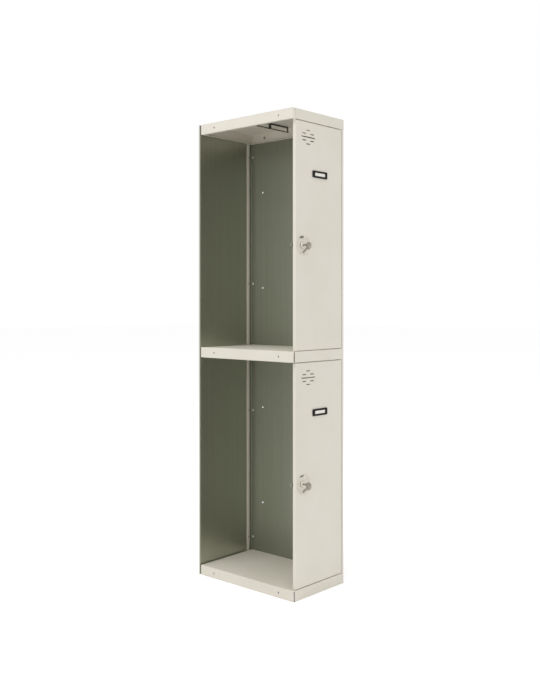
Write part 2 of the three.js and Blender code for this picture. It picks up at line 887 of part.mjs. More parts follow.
// Key outline with its bow's hole at the origin: x towards the tip, y up
function keySolid() {
  const tip = keyLength - keyHoleInset;
  const shoulder = tip - bladeLength;
  const bowEnd = -keyHoleInset;
  const neck = shoulder - bowShoulder / 2;
  const halfBlade = bladeHeight / 2;
  const halfBow = bowHeight / 2;
  const halfNeck = halfBow * bowNeckShare;
  const shape = new THREE.Shape();
  shape.moveTo(tip, 0);
  shape.lineTo(tip - bladeTip, halfBlade);
  shape.lineTo(shoulder, halfBlade);
  shape.lineTo(neck, halfNeck);
  shape.quadraticCurveTo(shoulder - bowShoulder, halfBow, shoulder - 2 * bowShoulder, halfBow);
  shape.quadraticCurveTo(bowEnd, halfBow, bowEnd, 0);
  shape.quadraticCurveTo(bowEnd, -halfBow, shoulder - 2 * bowShoulder, -halfBow);
  shape.quadraticCurveTo(shoulder - bowShoulder, -halfBow, neck, -halfNeck);
  shape.lineTo(shoulder, -halfBlade);
  const teeth = Math.max(1, Math.floor((bladeLength - bladeTip) / toothPitch) - 1);
  const toothFlank = toothPitch * toothFlankShare;
  for (let tooth = 1; tooth <= teeth; tooth += 1) {
    const at = shoulder + tooth * toothPitch;
    shape.lineTo(at - toothFlank, -halfBlade);
    shape.lineTo(at, -halfBlade + toothDepth);
    shape.lineTo(at + toothFlank, -halfBlade);
  }
  shape.lineTo(tip - bladeTip, -halfBlade);
  const hole = new THREE.Path();
  hole.absarc(0, 0, keyHoleRadius, 0, 2 * Math.PI);
  shape.holes.push(hole);
  const flat = extruded(shape, -keyThickness / 2, keyThickness / 2);
  return solidOf(alongX(flat));
}

// Key whose blade sits in the plug
function lockKey(name) {
  const mesh = named(name, keySolid(), nickelSteel());
  mesh.position.set(0, keyHoleY, 0);
  return mesh;
}

// Ring through both bows: its wire rests on the lower edge of the first key's hole
function keyRing(name) {
  const ring = new THREE.TorusGeometry(ringRadius, ringWireRadius, ringWireFacets, ringFacets);
  ring.rotateX(Math.PI / 2).translate(0, 0, -ringRadius);
  const mesh = named(name, solidOf(ring), nickelSteel());
  mesh.rotation.x = ringTilt;
  mesh.position.set(-(keyThickness + keySideGap) / 2, keyHoleY, -ringSeat);
  return mesh;
}

// Spare key, hung on the wire beside the first key and tilted towards the door
function spareKey(name) {
  const mesh = named(name, keySolid(), nickelSteel());
  mesh.rotation.x = spareKeyTilt - Math.PI / 2;
  mesh.position.set(-keyThickness - keySideGap, keyHoleY, -2 * ringSeat);
  return mesh;
}

// Lock, keys and ring of one door, placed at its dish
function lockSet(prefix, low, high) {
  const group = new THREE.Group();
  group.position.set(lockX, 0, (low + high) / 2 - lockBelowMiddle);
  group.add(lockBody(`${prefix}_lock_body`));
  group.add(lockNut(`${prefix}_lock_nut`));
  group.add(lockPlug(`${prefix}_lock_plug`));
  group.add(lockCam(`${prefix}_lock_cam`));
  group.add(camNut(`${prefix}_cam_nut`));
  group.add(lockKey(`${prefix}_key`));
  group.add(spareKey(`${prefix}_spare_key`));
  group.add(keyRing(`${prefix}_key_ring`));
  return group;
}

// One door with everything that swings with it
function door(prefix, low, high) {
  const group = new THREE.Group();
  group.add(doorPanel(`${prefix}_door_panel`, low, high));
  group.add(doorStiffener(`${prefix}_door_stiffener`, low, high));
  group.add(hingeBush(`${prefix}_top_bush`, high, true));
  group.add(hingeBush(`${prefix}_bottom_bush`, low, false));
  group.add(cardHolder(`${prefix}_card_holder`, high));
  group.add(nameCard(`${prefix}_card`, high));
  group.add(lockSet(prefix, low, high));
  return group;
}

// The whole bay
const locker = new THREE.Group();

locker.add(rightSidePanel());
locker.add(backPanel());
locker.add(topTray());
locker.add(lowerTray('middle_shelf', shelfTop, shelfRise));
locker.add(lowerTray('bottom_tray', trayRise, trayRise));
locker.add(hangerRail('upper_hanger_rail', lockerHeight - trayGauge));
locker.add(hangerRail('lower_hanger_rail', shelfTop - trayGauge));

trayBoltHeights().forEach((height, index) => {
  const tray = ['top_tray', 'middle_shelf', 'bottom_tray'][index];
  locker.add(trayBolt(`${tray}_front_bolt`, boltHoleFront, height));
  locker.add(trayBolt(`${tray}_rear_bolt`, boltHoleRear, height));
  locker.add(trayNut(`${tray}_front_nut`, boltHoleFront, height));
  locker.add(trayNut(`${tray}_rear_nut`, boltHoleRear, height));
});

rearFixingHeights().forEach((height, index) => {
  locker.add(rearScrew(`back_panel_screw_${index + 1}`, height));
  locker.add(joiningPlug(`joining_hole_plug_${index + 1}`, height));
});

locker.add(hingePin('upper_door_top_pin', topTrayBottom, trayGauge, false));
locker.add(hingePin('upper_door_bottom_pin', shelfTop, trayGauge, true));
locker.add(hingePin('lower_door_top_pin', shelfBottom, trayGauge, false));
locker.add(hingePin('lower_door_bottom_pin', trayRise, trayGauge, true));

locker.add(door('upper', shelfTop + doorGap, topTrayBottom - doorGap));
locker.add(door('lower', trayRise + doorGap, shelfBottom - doorGap));

// The origin is on the floor, at the middle of all that the bay covers with its keys and bolt heads
const covered = new THREE.Box3().setFromObject(locker, true);
const middle = covered.getCenter(new THREE.Vector3());
locker.position.set(-middle.x, -middle.y, -covered.min.z);

export default locker;
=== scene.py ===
# %% [markdown]
# # A steel locker bay with two doors
# This bay is folded from thin steel sheet. Its trays and doors are powder coated in a warm pale grey. Its
# side and back are cut from coated coil: painted outside, and zinc coloured inside. The construction is
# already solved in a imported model, so this file only dresses it: finer bends, pressed and rounded edges, real
# lock parts, and the finish of each surface. The frame is loaded first, because every piece takes its place
# from it.

# %% Load the frame
import json
import math
import bpy
import bmesh
from mathutils import Matrix, Vector

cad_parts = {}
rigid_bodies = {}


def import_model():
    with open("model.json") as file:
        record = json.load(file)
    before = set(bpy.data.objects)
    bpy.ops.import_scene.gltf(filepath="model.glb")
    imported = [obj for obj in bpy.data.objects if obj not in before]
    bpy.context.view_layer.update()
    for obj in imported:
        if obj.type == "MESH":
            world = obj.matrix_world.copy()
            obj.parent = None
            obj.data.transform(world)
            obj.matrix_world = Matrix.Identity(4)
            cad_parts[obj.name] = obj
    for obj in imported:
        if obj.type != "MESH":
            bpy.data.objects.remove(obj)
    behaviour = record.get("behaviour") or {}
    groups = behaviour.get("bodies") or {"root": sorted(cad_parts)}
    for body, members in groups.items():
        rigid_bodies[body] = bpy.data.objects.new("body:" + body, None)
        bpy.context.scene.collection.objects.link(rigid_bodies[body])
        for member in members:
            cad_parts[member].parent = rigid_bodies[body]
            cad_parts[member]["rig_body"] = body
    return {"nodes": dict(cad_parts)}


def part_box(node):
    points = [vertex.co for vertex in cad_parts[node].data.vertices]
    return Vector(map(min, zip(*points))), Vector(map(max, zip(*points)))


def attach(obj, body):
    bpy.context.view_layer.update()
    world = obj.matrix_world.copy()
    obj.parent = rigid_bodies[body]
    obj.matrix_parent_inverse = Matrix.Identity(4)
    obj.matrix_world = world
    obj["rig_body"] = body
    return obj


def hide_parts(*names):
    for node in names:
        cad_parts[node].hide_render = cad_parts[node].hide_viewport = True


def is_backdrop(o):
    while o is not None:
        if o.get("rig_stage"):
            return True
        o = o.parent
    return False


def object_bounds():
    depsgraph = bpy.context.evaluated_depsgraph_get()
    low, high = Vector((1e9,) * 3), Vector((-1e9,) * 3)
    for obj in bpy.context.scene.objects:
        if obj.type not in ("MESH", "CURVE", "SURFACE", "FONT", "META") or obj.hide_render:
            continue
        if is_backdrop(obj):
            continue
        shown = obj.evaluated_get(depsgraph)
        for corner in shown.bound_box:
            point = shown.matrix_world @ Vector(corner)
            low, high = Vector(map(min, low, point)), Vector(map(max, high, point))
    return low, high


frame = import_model()
cad_low, cad_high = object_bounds()
print("nodes in the frame:", len(frame["nodes"]))

# %% [markdown]
# ## One set of axes in millimetres
# The maker's drawing of the bay is in millimetres, with its origin on the floor in the middle of the 300 x
# 500 footprint. The top tray covers exactly that footprint, so its box gives the way from the drawing to the
# frame.

# %% From the drawing to the frame
MM = 0.001
tray_low, tray_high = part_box("top_tray")
footprint_middle = Vector(((tray_low.x + tray_high.x) / 2, (tray_low.y + tray_high.y) / 2, 0))
TO_FRAME = Matrix.Translation(footprint_middle) @ Matrix.Scale(MM, 4)
TO_DRAWING = TO_FRAME.inverted()
UP = Vector((0, 0, 1))


def drawn_box(node):
    """A node's lowest and highest corners, in the drawing's millimetres."""
    low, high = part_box(node)
    return TO_DRAWING @ low, TO_DRAWING @ high


locker_low, locker_high = drawn_box("top_tray")
print("footprint in mm:", [round(side) for side in (locker_high - locker_low)])

# %% [markdown]
# ## Two helpers for materials
# Colours are picked as sRGB hex values, which is how a paint chart or a photograph gives them, and Cycles
# wants linear light, so one function turns them. A second one adds a node with its options and its inputs,
# where an input is either a plain value or another node's output to link. That keeps each finish short enough
# to read.

# %% Colour and node helpers


def linear(hex_colour):
    shares = [int(hex_colour[place:place + 2], 16) / 255 for place in (1, 3, 5)]
    light = [share / 12.92 if share <= 0.04045 else ((share + 0.055) / 1.055) ** 2.4 for share in shares]
    return (*light, 1)


def add(tree, kind, inputs=None, **options):
    """Adds a node. Inputs go by name, or by number on a Mix node, whose colour sockets are 6 and 7."""
    node = tree.nodes.new(kind)
    for name, value in options.items():
        setattr(node, name, value)
    for name, value in (inputs or {}).items():
        if isinstance(value, bpy.types.NodeSocket):
            tree.links.new(value, node.inputs[name])
        else:
            node.inputs[name].default_value = value
    return node


def per_metre(millimetres):
    """The noise scale whose features lie about this many millimetres apart."""
    return 1 / (millimetres * MM)


def new_material(name):
    material = bpy.data.materials.new(name)
    material.use_nodes = True
    material.node_tree.nodes.clear()
    return material, material.node_tree


def surface(tree, inputs):
    """Ends a material: its principled shader, linked to the output."""
    shader = add(tree, "ShaderNodeBsdfPrincipled", inputs)
    add(tree, "ShaderNodeOutputMaterial", {"Surface": shader.outputs["BSDF"]})


MIXED = 2
print("warm pale grey in linear light:", [round(part, 3) for part in linear("#DAD5C9")])

# %% [markdown]
# ## Powder coat
# The pale parts are polyester powder baked on steel. The powder melts into a satin skin with a fine orange
# peel, which gives a soft, slightly broken highlight. Peel is about 1 mm from crest to crest, too fine to
# show here, so it is drawn at 3 mm. A slow noise varies colour and gloss by a few hundredths, as film
# thickness does, and a stretched one leaves a few faint hairline scuffs. A flat colour would look like
# plastic card instead.

# %% Powder coat
PEEL_MM, PEEL_DEPTH_MM = 3, 0.05
FILM_PATCH_MM = 160
SCUFF_MM = 9
SCUFF_STRETCH, SCUFF_TURN = (1, 1, 16), (0.5, 0.3, 0.2)
POWDER_GLOSS_SPREAD = 0.04


def powder_coat(name, colour, thin_colour, roughness):
    material, tree = new_material(name)
    place = add(tree, "ShaderNodeTexCoord").outputs["Object"]
    film = add(tree, "ShaderNodeTexNoise",
               {"Vector": place, "Scale": per_metre(FILM_PATCH_MM), "Detail": 3.0}).outputs["Fac"]
    drawn_out = add(tree, "ShaderNodeMapping",
                    {"Vector": place, "Rotation": SCUFF_TURN, "Scale": SCUFF_STRETCH}).outputs["Vector"]
    streaks = add(tree, "ShaderNodeTexNoise",
                  {"Vector": drawn_out, "Scale": per_metre(SCUFF_MM), "Detail": 5.0, "Roughness": 0.7})
    scuffs = add(tree, "ShaderNodeMapRange", {"Value": streaks.outputs["Fac"], "From Min": 0.70,
                                              "From Max": 0.80, "To Max": 0.35}).outputs["Result"]
    thickness = add(tree, "ShaderNodeMapRange",
                    {"Value": film, "From Min": 0.35, "From Max": 0.65}).outputs["Result"]
    body = add(tree, "ShaderNodeMix", {"Factor": thickness, 6: linear(thin_colour), 7: linear(colour)},
               data_type="RGBA").outputs[MIXED]
    tint = add(tree, "ShaderNodeMix", {"Factor": scuffs, 6: body, 7: linear("#BDB8AB")},
               data_type="RGBA").outputs[MIXED]
    gloss = add(tree, "ShaderNodeMapRange", {"Value": film, "From Min": 0.3, "From Max": 0.7,
                                             "To Min": roughness - POWDER_GLOSS_SPREAD,
                                             "To Max": roughness + POWDER_GLOSS_SPREAD})
    peel = add(tree, "ShaderNodeTexNoise", {"Vector": place, "Scale": per_metre(PEEL_MM), "Detail": 2.0})
    bump = add(tree, "ShaderNodeBump", {"Height": peel.outputs["Fac"], "Strength": 0.3,
                                        "Distance": PEEL_DEPTH_MM * MM})
    surface(tree, {"Base Color": tint, "Roughness": gloss.outputs["Result"],
                   "Normal": bump.outputs["Normal"]})
    return material


pale_coat = powder_coat("pale_powder_coat", "#DAD5C9", "#D6D1C4", roughness=0.40)
print(pale_coat.name, "has", len(pale_coat.node_tree.nodes), "nodes")

# %% [markdown]
# ## Zinc sheet, bright and lacquered
# Inside, the back is plain zinc coated steel. It mirrors softly, so it shows the floor of its compartment as
# a pale haze along the bottom. The side carries the coil maker's backing coat: a thin olive-grey lacquer,
# which lets through part of the mirror and scatters the rest, so the same function makes it with less metal
# in it. Rolling leaves streaks along the sheet, drawn 12 mm wide and 800 mm long, and handling leaves broad,
# cloudy, slightly rougher patches. The roughness stays above 0.28: below that a denoiser takes a surface for
# a mirror, and a patch that crosses the border gets a visible outline.

# %% Zinc sheet
ROLLING_STREAK_MM = 12
ROLLING_STRETCH = (1, 1, 0.015)
CLOUD_MM = 220


def zinc_sheet(name, colour, dark_colour, metal, roughness):
    material, tree = new_material(name)
    place = add(tree, "ShaderNodeTexCoord").outputs["Object"]
    rolled = add(tree, "ShaderNodeMapping", {"Vector": place, "Scale": ROLLING_STRETCH}).outputs["Vector"]
    streak = add(tree, "ShaderNodeTexNoise",
                 {"Vector": rolled, "Scale": per_metre(ROLLING_STREAK_MM), "Detail": 3.0}).outputs["Fac"]
    cloud = add(tree, "ShaderNodeTexNoise",
                {"Vector": place, "Scale": per_metre(CLOUD_MM), "Detail": 3.0}).outputs["Fac"]
    shade = add(tree, "ShaderNodeMapRange",
                {"Value": streak, "From Min": 0.35, "From Max": 0.65}).outputs["Result"]
    tint = add(tree, "ShaderNodeMix", {"Factor": shade, 6: linear(dark_colour), 7: linear(colour)},
               data_type="RGBA").outputs[MIXED]
    gloss = add(tree, "ShaderNodeMapRange", {"Value": cloud, "From Min": 0.3, "From Max": 0.7,
                                             "To Min": roughness - 0.01, "To Max": roughness + 0.03})
    surface(tree, {"Base Color": tint, "Metallic": metal, "Roughness": gloss.outputs["Result"]})
    return material


bright_zinc = zinc_sheet("bright_zinc_sheet", "#BBBDAF", "#B7B9AB", metal=0.97, roughness=0.30)
lacquered_zinc = zinc_sheet("lacquered_zinc_sheet", "#868879", "#828475", metal=0.45, roughness=0.32)
cut_edge = zinc_sheet("cut_steel_edge", "#A3A39B", "#8E8E86", metal=1.0, roughness=0.40)
print(bright_zinc.name, lacquered_zinc.name, cut_edge.name)

# %% [markdown]
# ## Plated and moulded small parts
# Bolts, nuts, screws and the cam are zinc plated, which is bright but slightly milky. Lock, plug and keys are
# satin nickel, a warmer grey. Both are drawn by one function, with fine grain that breaks the reflection. The
# moulded parts are natural nylon and black plastic with a fine spark texture, drawn at 0.8 mm. That texture
# traps light, so the black one also gets a weaker reflection, or white surroundings would turn it grey.

# %% Plated metal and moulded plastic
PLATE_GRAIN_DEPTH_MM = 0.01
GRAINS_PER_CLOUD = 12


def plated(name, colour, worn_colour, roughness, grain_mm):
    material, tree = new_material(name)
    place = add(tree, "ShaderNodeTexCoord").outputs["Object"]
    grain = add(tree, "ShaderNodeTexNoise",
                {"Vector": place, "Scale": per_metre(grain_mm), "Detail": 4.0}).outputs["Fac"]
    patch = add(tree, "ShaderNodeMapRange",
                {"Value": grain, "From Min": 0.35, "From Max": 0.65}).outputs["Result"]
    tint = add(tree, "ShaderNodeMix", {"Factor": patch, 6: linear(worn_colour), 7: linear(colour)},
               data_type="RGBA").outputs[MIXED]
    gloss = add(tree, "ShaderNodeMapRange", {"Value": grain, "From Min": 0.3, "From Max": 0.7,
                                             "To Min": roughness - 0.06, "To Max": roughness + 0.08})
    bump = add(tree, "ShaderNodeBump", {"Height": grain, "Strength": 0.2,
                                        "Distance": PLATE_GRAIN_DEPTH_MM * MM})
    surface(tree, {"Base Color": tint, "Metallic": 1.0, "Roughness": gloss.outputs["Result"],
                   "Normal": bump.outputs["Normal"]})
    return material


def moulded(name, colour, worn_colour, roughness, sheen, grain_mm, depth_mm):
    material, tree = new_material(name)
    place = add(tree, "ShaderNodeTexCoord").outputs["Object"]
    grain = add(tree, "ShaderNodeTexNoise",
                {"Vector": place, "Scale": per_metre(grain_mm), "Detail": 3.0}).outputs["Fac"]
    cloud = add(tree, "ShaderNodeTexNoise",
                {"Vector": place, "Scale": per_metre(GRAINS_PER_CLOUD * grain_mm)}).outputs["Fac"]
    tint = add(tree, "ShaderNodeMix", {"Factor": cloud, 6: linear(worn_colour), 7: linear(colour)},
               data_type="RGBA").outputs[MIXED]
    gloss = add(tree, "ShaderNodeMapRange", {"Value": cloud, "From Min": 0.3, "From Max": 0.7,
                                             "To Min": roughness - 0.05, "To Max": roughness + 0.05})
    bump = add(tree, "ShaderNodeBump", {"Height": grain, "Strength": 0.4, "Distance": depth_mm * MM})
    surface(tree, {"Base Color": tint, "Roughness": gloss.outputs["Result"], "Specular IOR Level": sheen,
                   "Normal": bump.outputs["Normal"]})
    return material


zinc_plate = plated("zinc_plate", "#B9BAB3", "#ABACA4", roughness=0.36, grain_mm=3.0)
satin_nickel = plated("satin_nickel", "#DAD5CB", "#D0CBC0", roughness=0.36, grain_mm=4.0)
key_nickel = plated("worn_nickel", "#B7B3AA", "#A39F96", roughness=0.36, grain_mm=5.0)
black_plastic = moulded("black_moulded_plastic", "#0C0A08", "#120F0C", roughness=0.55, sheen=0.2,
                        grain_mm=0.8, depth_mm=0.03)
natural_nylon = moulded("natural_nylon", "#DAD8CE", "#CFCDC1", roughness=0.50, sheen=0.5,
                        grain_mm=1.2, depth_mm=0.02)
# The hanger straps' dark colour is partly their own paint and partly painted shade: the shadow they hang in
# under the top tray is painted into the strap.
strap_paint_and_painted_shade = moulded("strap_paint_with_painted_shade", "#4A453A", "#3D382F", roughness=0.45, sheen=0.5,
                     grain_mm=1.0, depth_mm=0.02)
small_finishes = (zinc_plate, satin_nickel, key_nickel, black_plastic, natural_nylon, strap_paint_and_painted_shade)
print("small finishes:", [finish.name for finish in small_finishes])

# %% [markdown]
# ## Printed card
# The card behind each window is white board with ruled lines and nothing written. Board is matt, with faint
# fibres. The lines are worked out from the height in the Object coordinates: a wave along Z every 3 mm, of
# which only the crest is inked.

# %% Ruled card
RULE_PITCH_MM, INKED_SHARE, INK_STRENGTH = 3.0, 0.14, 0.5
FIBRE_MM, FIBRE_DEPTH_MM = 0.6, 0.02


def ruled_card(name):
    material, tree = new_material(name)
    place = add(tree, "ShaderNodeTexCoord").outputs["Object"]
    height = add(tree, "ShaderNodeSeparateXYZ", {"Vector": place}).outputs["Z"]
    rows = add(tree, "ShaderNodeMath", {0: height, 1: 1 / (RULE_PITCH_MM * MM)}, operation="MULTIPLY")
    within = add(tree, "ShaderNodeMath", {0: rows.outputs[0]}, operation="FRACT").outputs[0]
    ink = add(tree, "ShaderNodeMath", {0: within, 1: INKED_SHARE}, operation="LESS_THAN").outputs[0]
    faint_ink = add(tree, "ShaderNodeMath", {0: ink, 1: INK_STRENGTH}, operation="MULTIPLY").outputs[0]
    fibre = add(tree, "ShaderNodeTexNoise",
                {"Vector": place, "Scale": per_metre(FIBRE_MM), "Detail": 3.0}).outputs["Fac"]
    board = add(tree, "ShaderNodeMix", {"Factor": fibre, 6: linear("#EAE7DE"), 7: linear("#F2F0E8")},
                data_type="RGBA").outputs[MIXED]
    tint = add(tree, "ShaderNodeMix", {"Factor": faint_ink, 6: board, 7: linear("#8F8C86")},
               data_type="RGBA").outputs[MIXED]
    bump = add(tree, "ShaderNodeBump", {"Height": fibre, "Strength": 0.2, "Distance": FIBRE_DEPTH_MM * MM})
    surface(tree, {"Base Color": tint, "Roughness": 0.85, "Normal": bump.outputs["Normal"]})
    return material


white_card = ruled_card("ruled_white_card")
print(white_card.name, "is ruled every", RULE_PITCH_MM, "mm")

# %% [markdown]
# ## From a mesh to a finished piece
# Each new piece is drawn with bmesh in the drawing's millimetres. `piece_from` gives its mesh the place that
# the frame asks for, so the object itself stays at the origin, unturned. `stand_for` lets it ride with the
# body of the node that it stands for. `rounded` is what every real edge has: a small radius that catches the
# light. It stays a live Bevel modifier with weighted normals, which keeps the large faces flat.

# %% Piece helpers


def piece_from(shape, name, *materials):
    mesh = bpy.data.meshes.new(name)
    shape.to_mesh(mesh)
    shape.free()
    mesh.transform(TO_FRAME)
    for material in materials:
        mesh.materials.append(material)
    piece = bpy.data.objects.new(name, mesh)
    bpy.context.scene.collection.objects.link(piece)
    return piece


def stand_for(piece, node):
    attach(piece, frame["nodes"][node]["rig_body"])
    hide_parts(node)
    return piece


def applied(piece):
    """Turns the piece's modifiers into its mesh."""
    seen = piece.evaluated_get(bpy.context.evaluated_depsgraph_get())
    mesh = bpy.data.meshes.new_from_object(seen)
    piece.modifiers.clear()
    piece.data = mesh
    return piece


def rounded(piece, radius, segments=1, sharper_than=50):
    """Smooth shading, and a small round on every edge that is sharper than an angle in degrees."""
    for face in piece.data.polygons:
        face.use_smooth = True
    bevel = piece.modifiers.new("rounded_edges", "BEVEL")
    bevel.width = radius * MM
    bevel.segments = segments
    bevel.limit_method = "ANGLE"
    bevel.angle_limit = math.radians(sharper_than)
    bevel.harden_normals = False
    flat = piece.modifiers.new("flat_faces", "WEIGHTED_NORMAL")
    flat.keep_sharp = True
    return piece


# %% [markdown]
# ## Turned, hexagonal and punched shapes
# Bolts, screws, plugs and lock barrels are round, so each is a profile spun about an axis, as on a lathe. A
# profile is a list of (radius, height) points, and the ones on the axis become its poles. Holes and slots are
# punched, which here is a Boolean with cutters that stick out of the sheet: a rod, or a bar with round
# corners. Cutters that don't overlap are joined into one mesh first, so a sheet with many holes is cut once.
# Those that do overlap would confuse the Boolean as one mesh, so they cut one after the other.

# %% Turning and cutting helpers
AXIS_TURN = {"x": Matrix.Rotation(math.radians(90), 4, "Y"), "y": Matrix.Rotation(math.radians(-90), 4, "X"),
             "z": Matrix.Identity(4)}
WELD_MM = 0.0005
UPRIGHT = 0.9
HEXAGON_CORNER = 1 / math.cos(math.radians(30))


def set_along(shape, axis, place):
    bmesh.ops.transform(shape, matrix=Matrix.Translation(place) @ AXIS_TURN[axis], verts=shape.verts)
    return shape


def round_edges(shape, edges, radius, steps):
    bmesh.ops.bevel(shape, geom=edges, offset=radius, offset_type="OFFSET", affect="EDGES",
                    segments=steps, profile=0.5, material=-1)


def points_of(parts):
    return [part for part in parts if isinstance(part, bmesh.types.BMVert)]


def turned(profile, axis, place, steps=48):
    """A solid of revolution: (radius, height) points about an axis through a place."""
    shape = bmesh.new()
    points = [shape.verts.new((radius, 0, height)) for radius, height in profile]
    rim = [shape.edges.new(pair) for pair in zip(points, points[1:])]
    bmesh.ops.spin(shape, geom=points + rim, axis=UP, cent=(0, 0, 0), angle=math.tau, steps=steps,
                   use_merge=True)
    bmesh.ops.remove_doubles(shape, verts=shape.verts, dist=WELD_MM)
    bmesh.ops.recalc_face_normals(shape, faces=shape.faces)
    return set_along(shape, axis, place)


def prism(width, height, low, high, axis, place, corner=0.0, steps=5):
    """A rectangular bar with round corners, run along an axis from low to high."""
    shape = bmesh.new()
    bmesh.ops.create_cube(shape, size=1)
    bmesh.ops.scale(shape, vec=(width, height, high - low), verts=shape.verts)
    bmesh.ops.translate(shape, vec=(0, 0, (low + high) / 2), verts=shape.verts)
    if corner:
        along = [edge for edge in shape.edges
                 if abs((edge.verts[0].co - edge.verts[1].co).normalized().z) > UPRIGHT]
        round_edges(shape, along, corner, steps)
        bmesh.ops.remove_doubles(shape, verts=shape.verts, dist=WELD_MM)
    return set_along(shape, axis, place)


def hexagonal(flats, low, high, axis, place, turn=0):
    """A hexagonal bar along an axis, turned about it by so many degrees."""
    shape = bmesh.new()
    corner = flats / 2 * HEXAGON_CORNER
    bmesh.ops.create_cone(shape, cap_ends=True, segments=6, radius1=corner, radius2=corner, depth=high - low,
                          matrix=Matrix.Rotation(math.radians(turn), 4, "Z"))
    bmesh.ops.translate(shape, vec=(0, 0, (low + high) / 2), verts=shape.verts)
    return set_along(shape, axis, place)


def rod(radius, low, high, axis, place, steps=32):
    return turned([(0, low), (radius, low), (radius, high), (0, high)], axis, place, steps)


def joined(shapes):
    """Several bmeshes as one, and the rest are freed."""
    whole = bmesh.new()
    for shape in shapes:
        mesh = bpy.data.meshes.new("joined")
        shape.to_mesh(mesh)
        whole.from_mesh(mesh)
        bpy.data.meshes.remove(mesh)
        shape.free()
    return whole


def cut(piece, shapes, operation="DIFFERENCE"):
    """Cuts a list of shapes out of a piece, all in one Boolean."""
    cutter = piece_from(joined(shapes), piece.name + "_cutter", *piece.data.materials)
    boolean = piece.modifiers.new("cut", "BOOLEAN")
    boolean.operation = operation
    boolean.solver = "EXACT"
    boolean.object = cutter
    applied(piece)
    bpy.data.objects.remove(cutter)
    return piece


print("turning and cutting helpers are ready")

# %% [markdown]
# ## Folded sheets
# The side and back panels come off a press brake: one flat strip with its long edges folded. A strip is drawn
# as a plan outline, raised to its height, and its folds are bevelled to the bend radius. A Solidify modifier
# then gives it its gauge. Its material offsets are the reason for this way: the outline's own face stays
# painted, the wall behind it becomes bare zinc, and the rim shows the cut edge of the steel. Where two folds
# use up the whole strip between them, as at a hem, their points coincide and are merged before the sheet gets
# its gauge, because Solidify would push the empty face between them out of the sheet.

# %% Folded sheet helper
PANEL_GAUGE = 0.8
BEND_RADIUS = 2.4
BEND_STEPS = 6
SAME_PLACE_MM = 0.001


def solid_sheet(piece, thickness):
    """Gives a drawn face its gauge, inwards."""
    gauge = piece.modifiers.new("gauge", "SOLIDIFY")
    gauge.thickness = thickness * MM
    gauge.offset = -1
    gauge.use_even_offset = True
    return gauge


def folded_sheet(outline, radii, low, high, name, *materials):
    """A sheet whose outer face follows the outline, with its metal on the outline's left."""
    shape = bmesh.new()
    feet = [shape.verts.new((x, y, low)) for x, y in outline]
    edges = [shape.edges.new(pair) for pair in zip(feet, feet[1:])]
    raised = bmesh.ops.extrude_edge_only(shape, edges=edges)["geom"]
    bmesh.ops.translate(shape, vec=(0, 0, high - low), verts=points_of(raised))
    for (x, y), radius in zip(outline[1:-1], radii):
        fold = [edge for edge in shape.edges
                if all(math.hypot(end.co.x - x, end.co.y - y) < SAME_PLACE_MM for end in edge.verts)]
        round_edges(shape, fold + [end for edge in fold for end in edge.verts], radius, BEND_STEPS)
    bmesh.ops.remove_doubles(shape, verts=shape.verts, dist=WELD_MM)
    shape.faces.ensure_lookup_table()
    shape.normal_update()
    first_run = Vector((*outline[1], 0)) - Vector((*outline[0], 0))
    first_face = min(shape.faces, key=lambda face: (face.calc_center_median().xy - Vector(outline[0])).length)
    if first_face.normal.dot(first_run.cross(UP)) < 0:
        bmesh.ops.reverse_faces(shape, faces=shape.faces)
    piece = piece_from(shape, name, *materials)
    gauge = solid_sheet(piece, PANEL_GAUGE)
    gauge.material_offset = 1
    gauge.material_offset_rim = 2
    return applied(piece)


panel_high = drawn_box("right_side_panel")[1].z
print("panels stand", round(panel_high, 1), "mm high")

# %% [markdown]
# ## Right side panel
# It is one sheet with a box-shaped stile along its front, and behind it a rear flange whose edge is hemmed
# forward. The hem shows the painted side inside the locker as a pale strip. Round holes take the bolts of the
# trays and of the next bay, and notches in the hem leave room for the screw heads. The corner above the stile
# is cut away under the top tray's flange.

# %% Right side panel
RIGHT, FRONT = 150, -250
STILE_LEFT, STILE_REAR, STILE_LIP = 139.5, -238, 5
FLANGE_FACE, FLANGE_LEFT, HEM_FACE, HEM_END = 242.7, 122, 240.8, 137
HEM_RADIUS = 0.95
FIXING_FOOT, FIXING_PITCH, FIXING_COUNT = 95, 537, 4
FIXING_HEIGHTS = [FIXING_FOOT + row * FIXING_PITCH for row in range(FIXING_COUNT)]
TRAY_BOLT_HEIGHTS = {"top_tray": 1780, "middle_shelf": 890.5, "bottom_tray": 20}
BOLT_PLACES = {"front": -176.5, "rear": 162.5}
SPARE_HOLE_HEIGHTS, SPARE_HOLE_PLACES = [248, 649, 1151, 1552], (-175, 175)
SCREW_X, PLUG_Y = 132, 231
SPARE_HOLE_RADIUS, BOLT_HOLE_RADIUS, SCREW_HOLE_RADIUS = 3.0, 3.5, 2.3
THROUGH_SKIN, THROUGH_FLANGE, THROUGH_HEM = (148, 152), (238, 246), (239, 241.75)
NOTCH_WIDTH, NOTCH_HEIGHT, NOTCH_X, NOTCH_CORNER = 14, 15, 133, 1.5
STILE_TOP, OVER_PANEL = 1759.7, 1802
CAP_X, CAP_WIDTH, CAP_DEPTH, CAP_Y = 141.35, 15.7, 22, -245
FACE_WIDTH, FACE_DEPTH, FACE_Y = 24, 9.3, -253.35

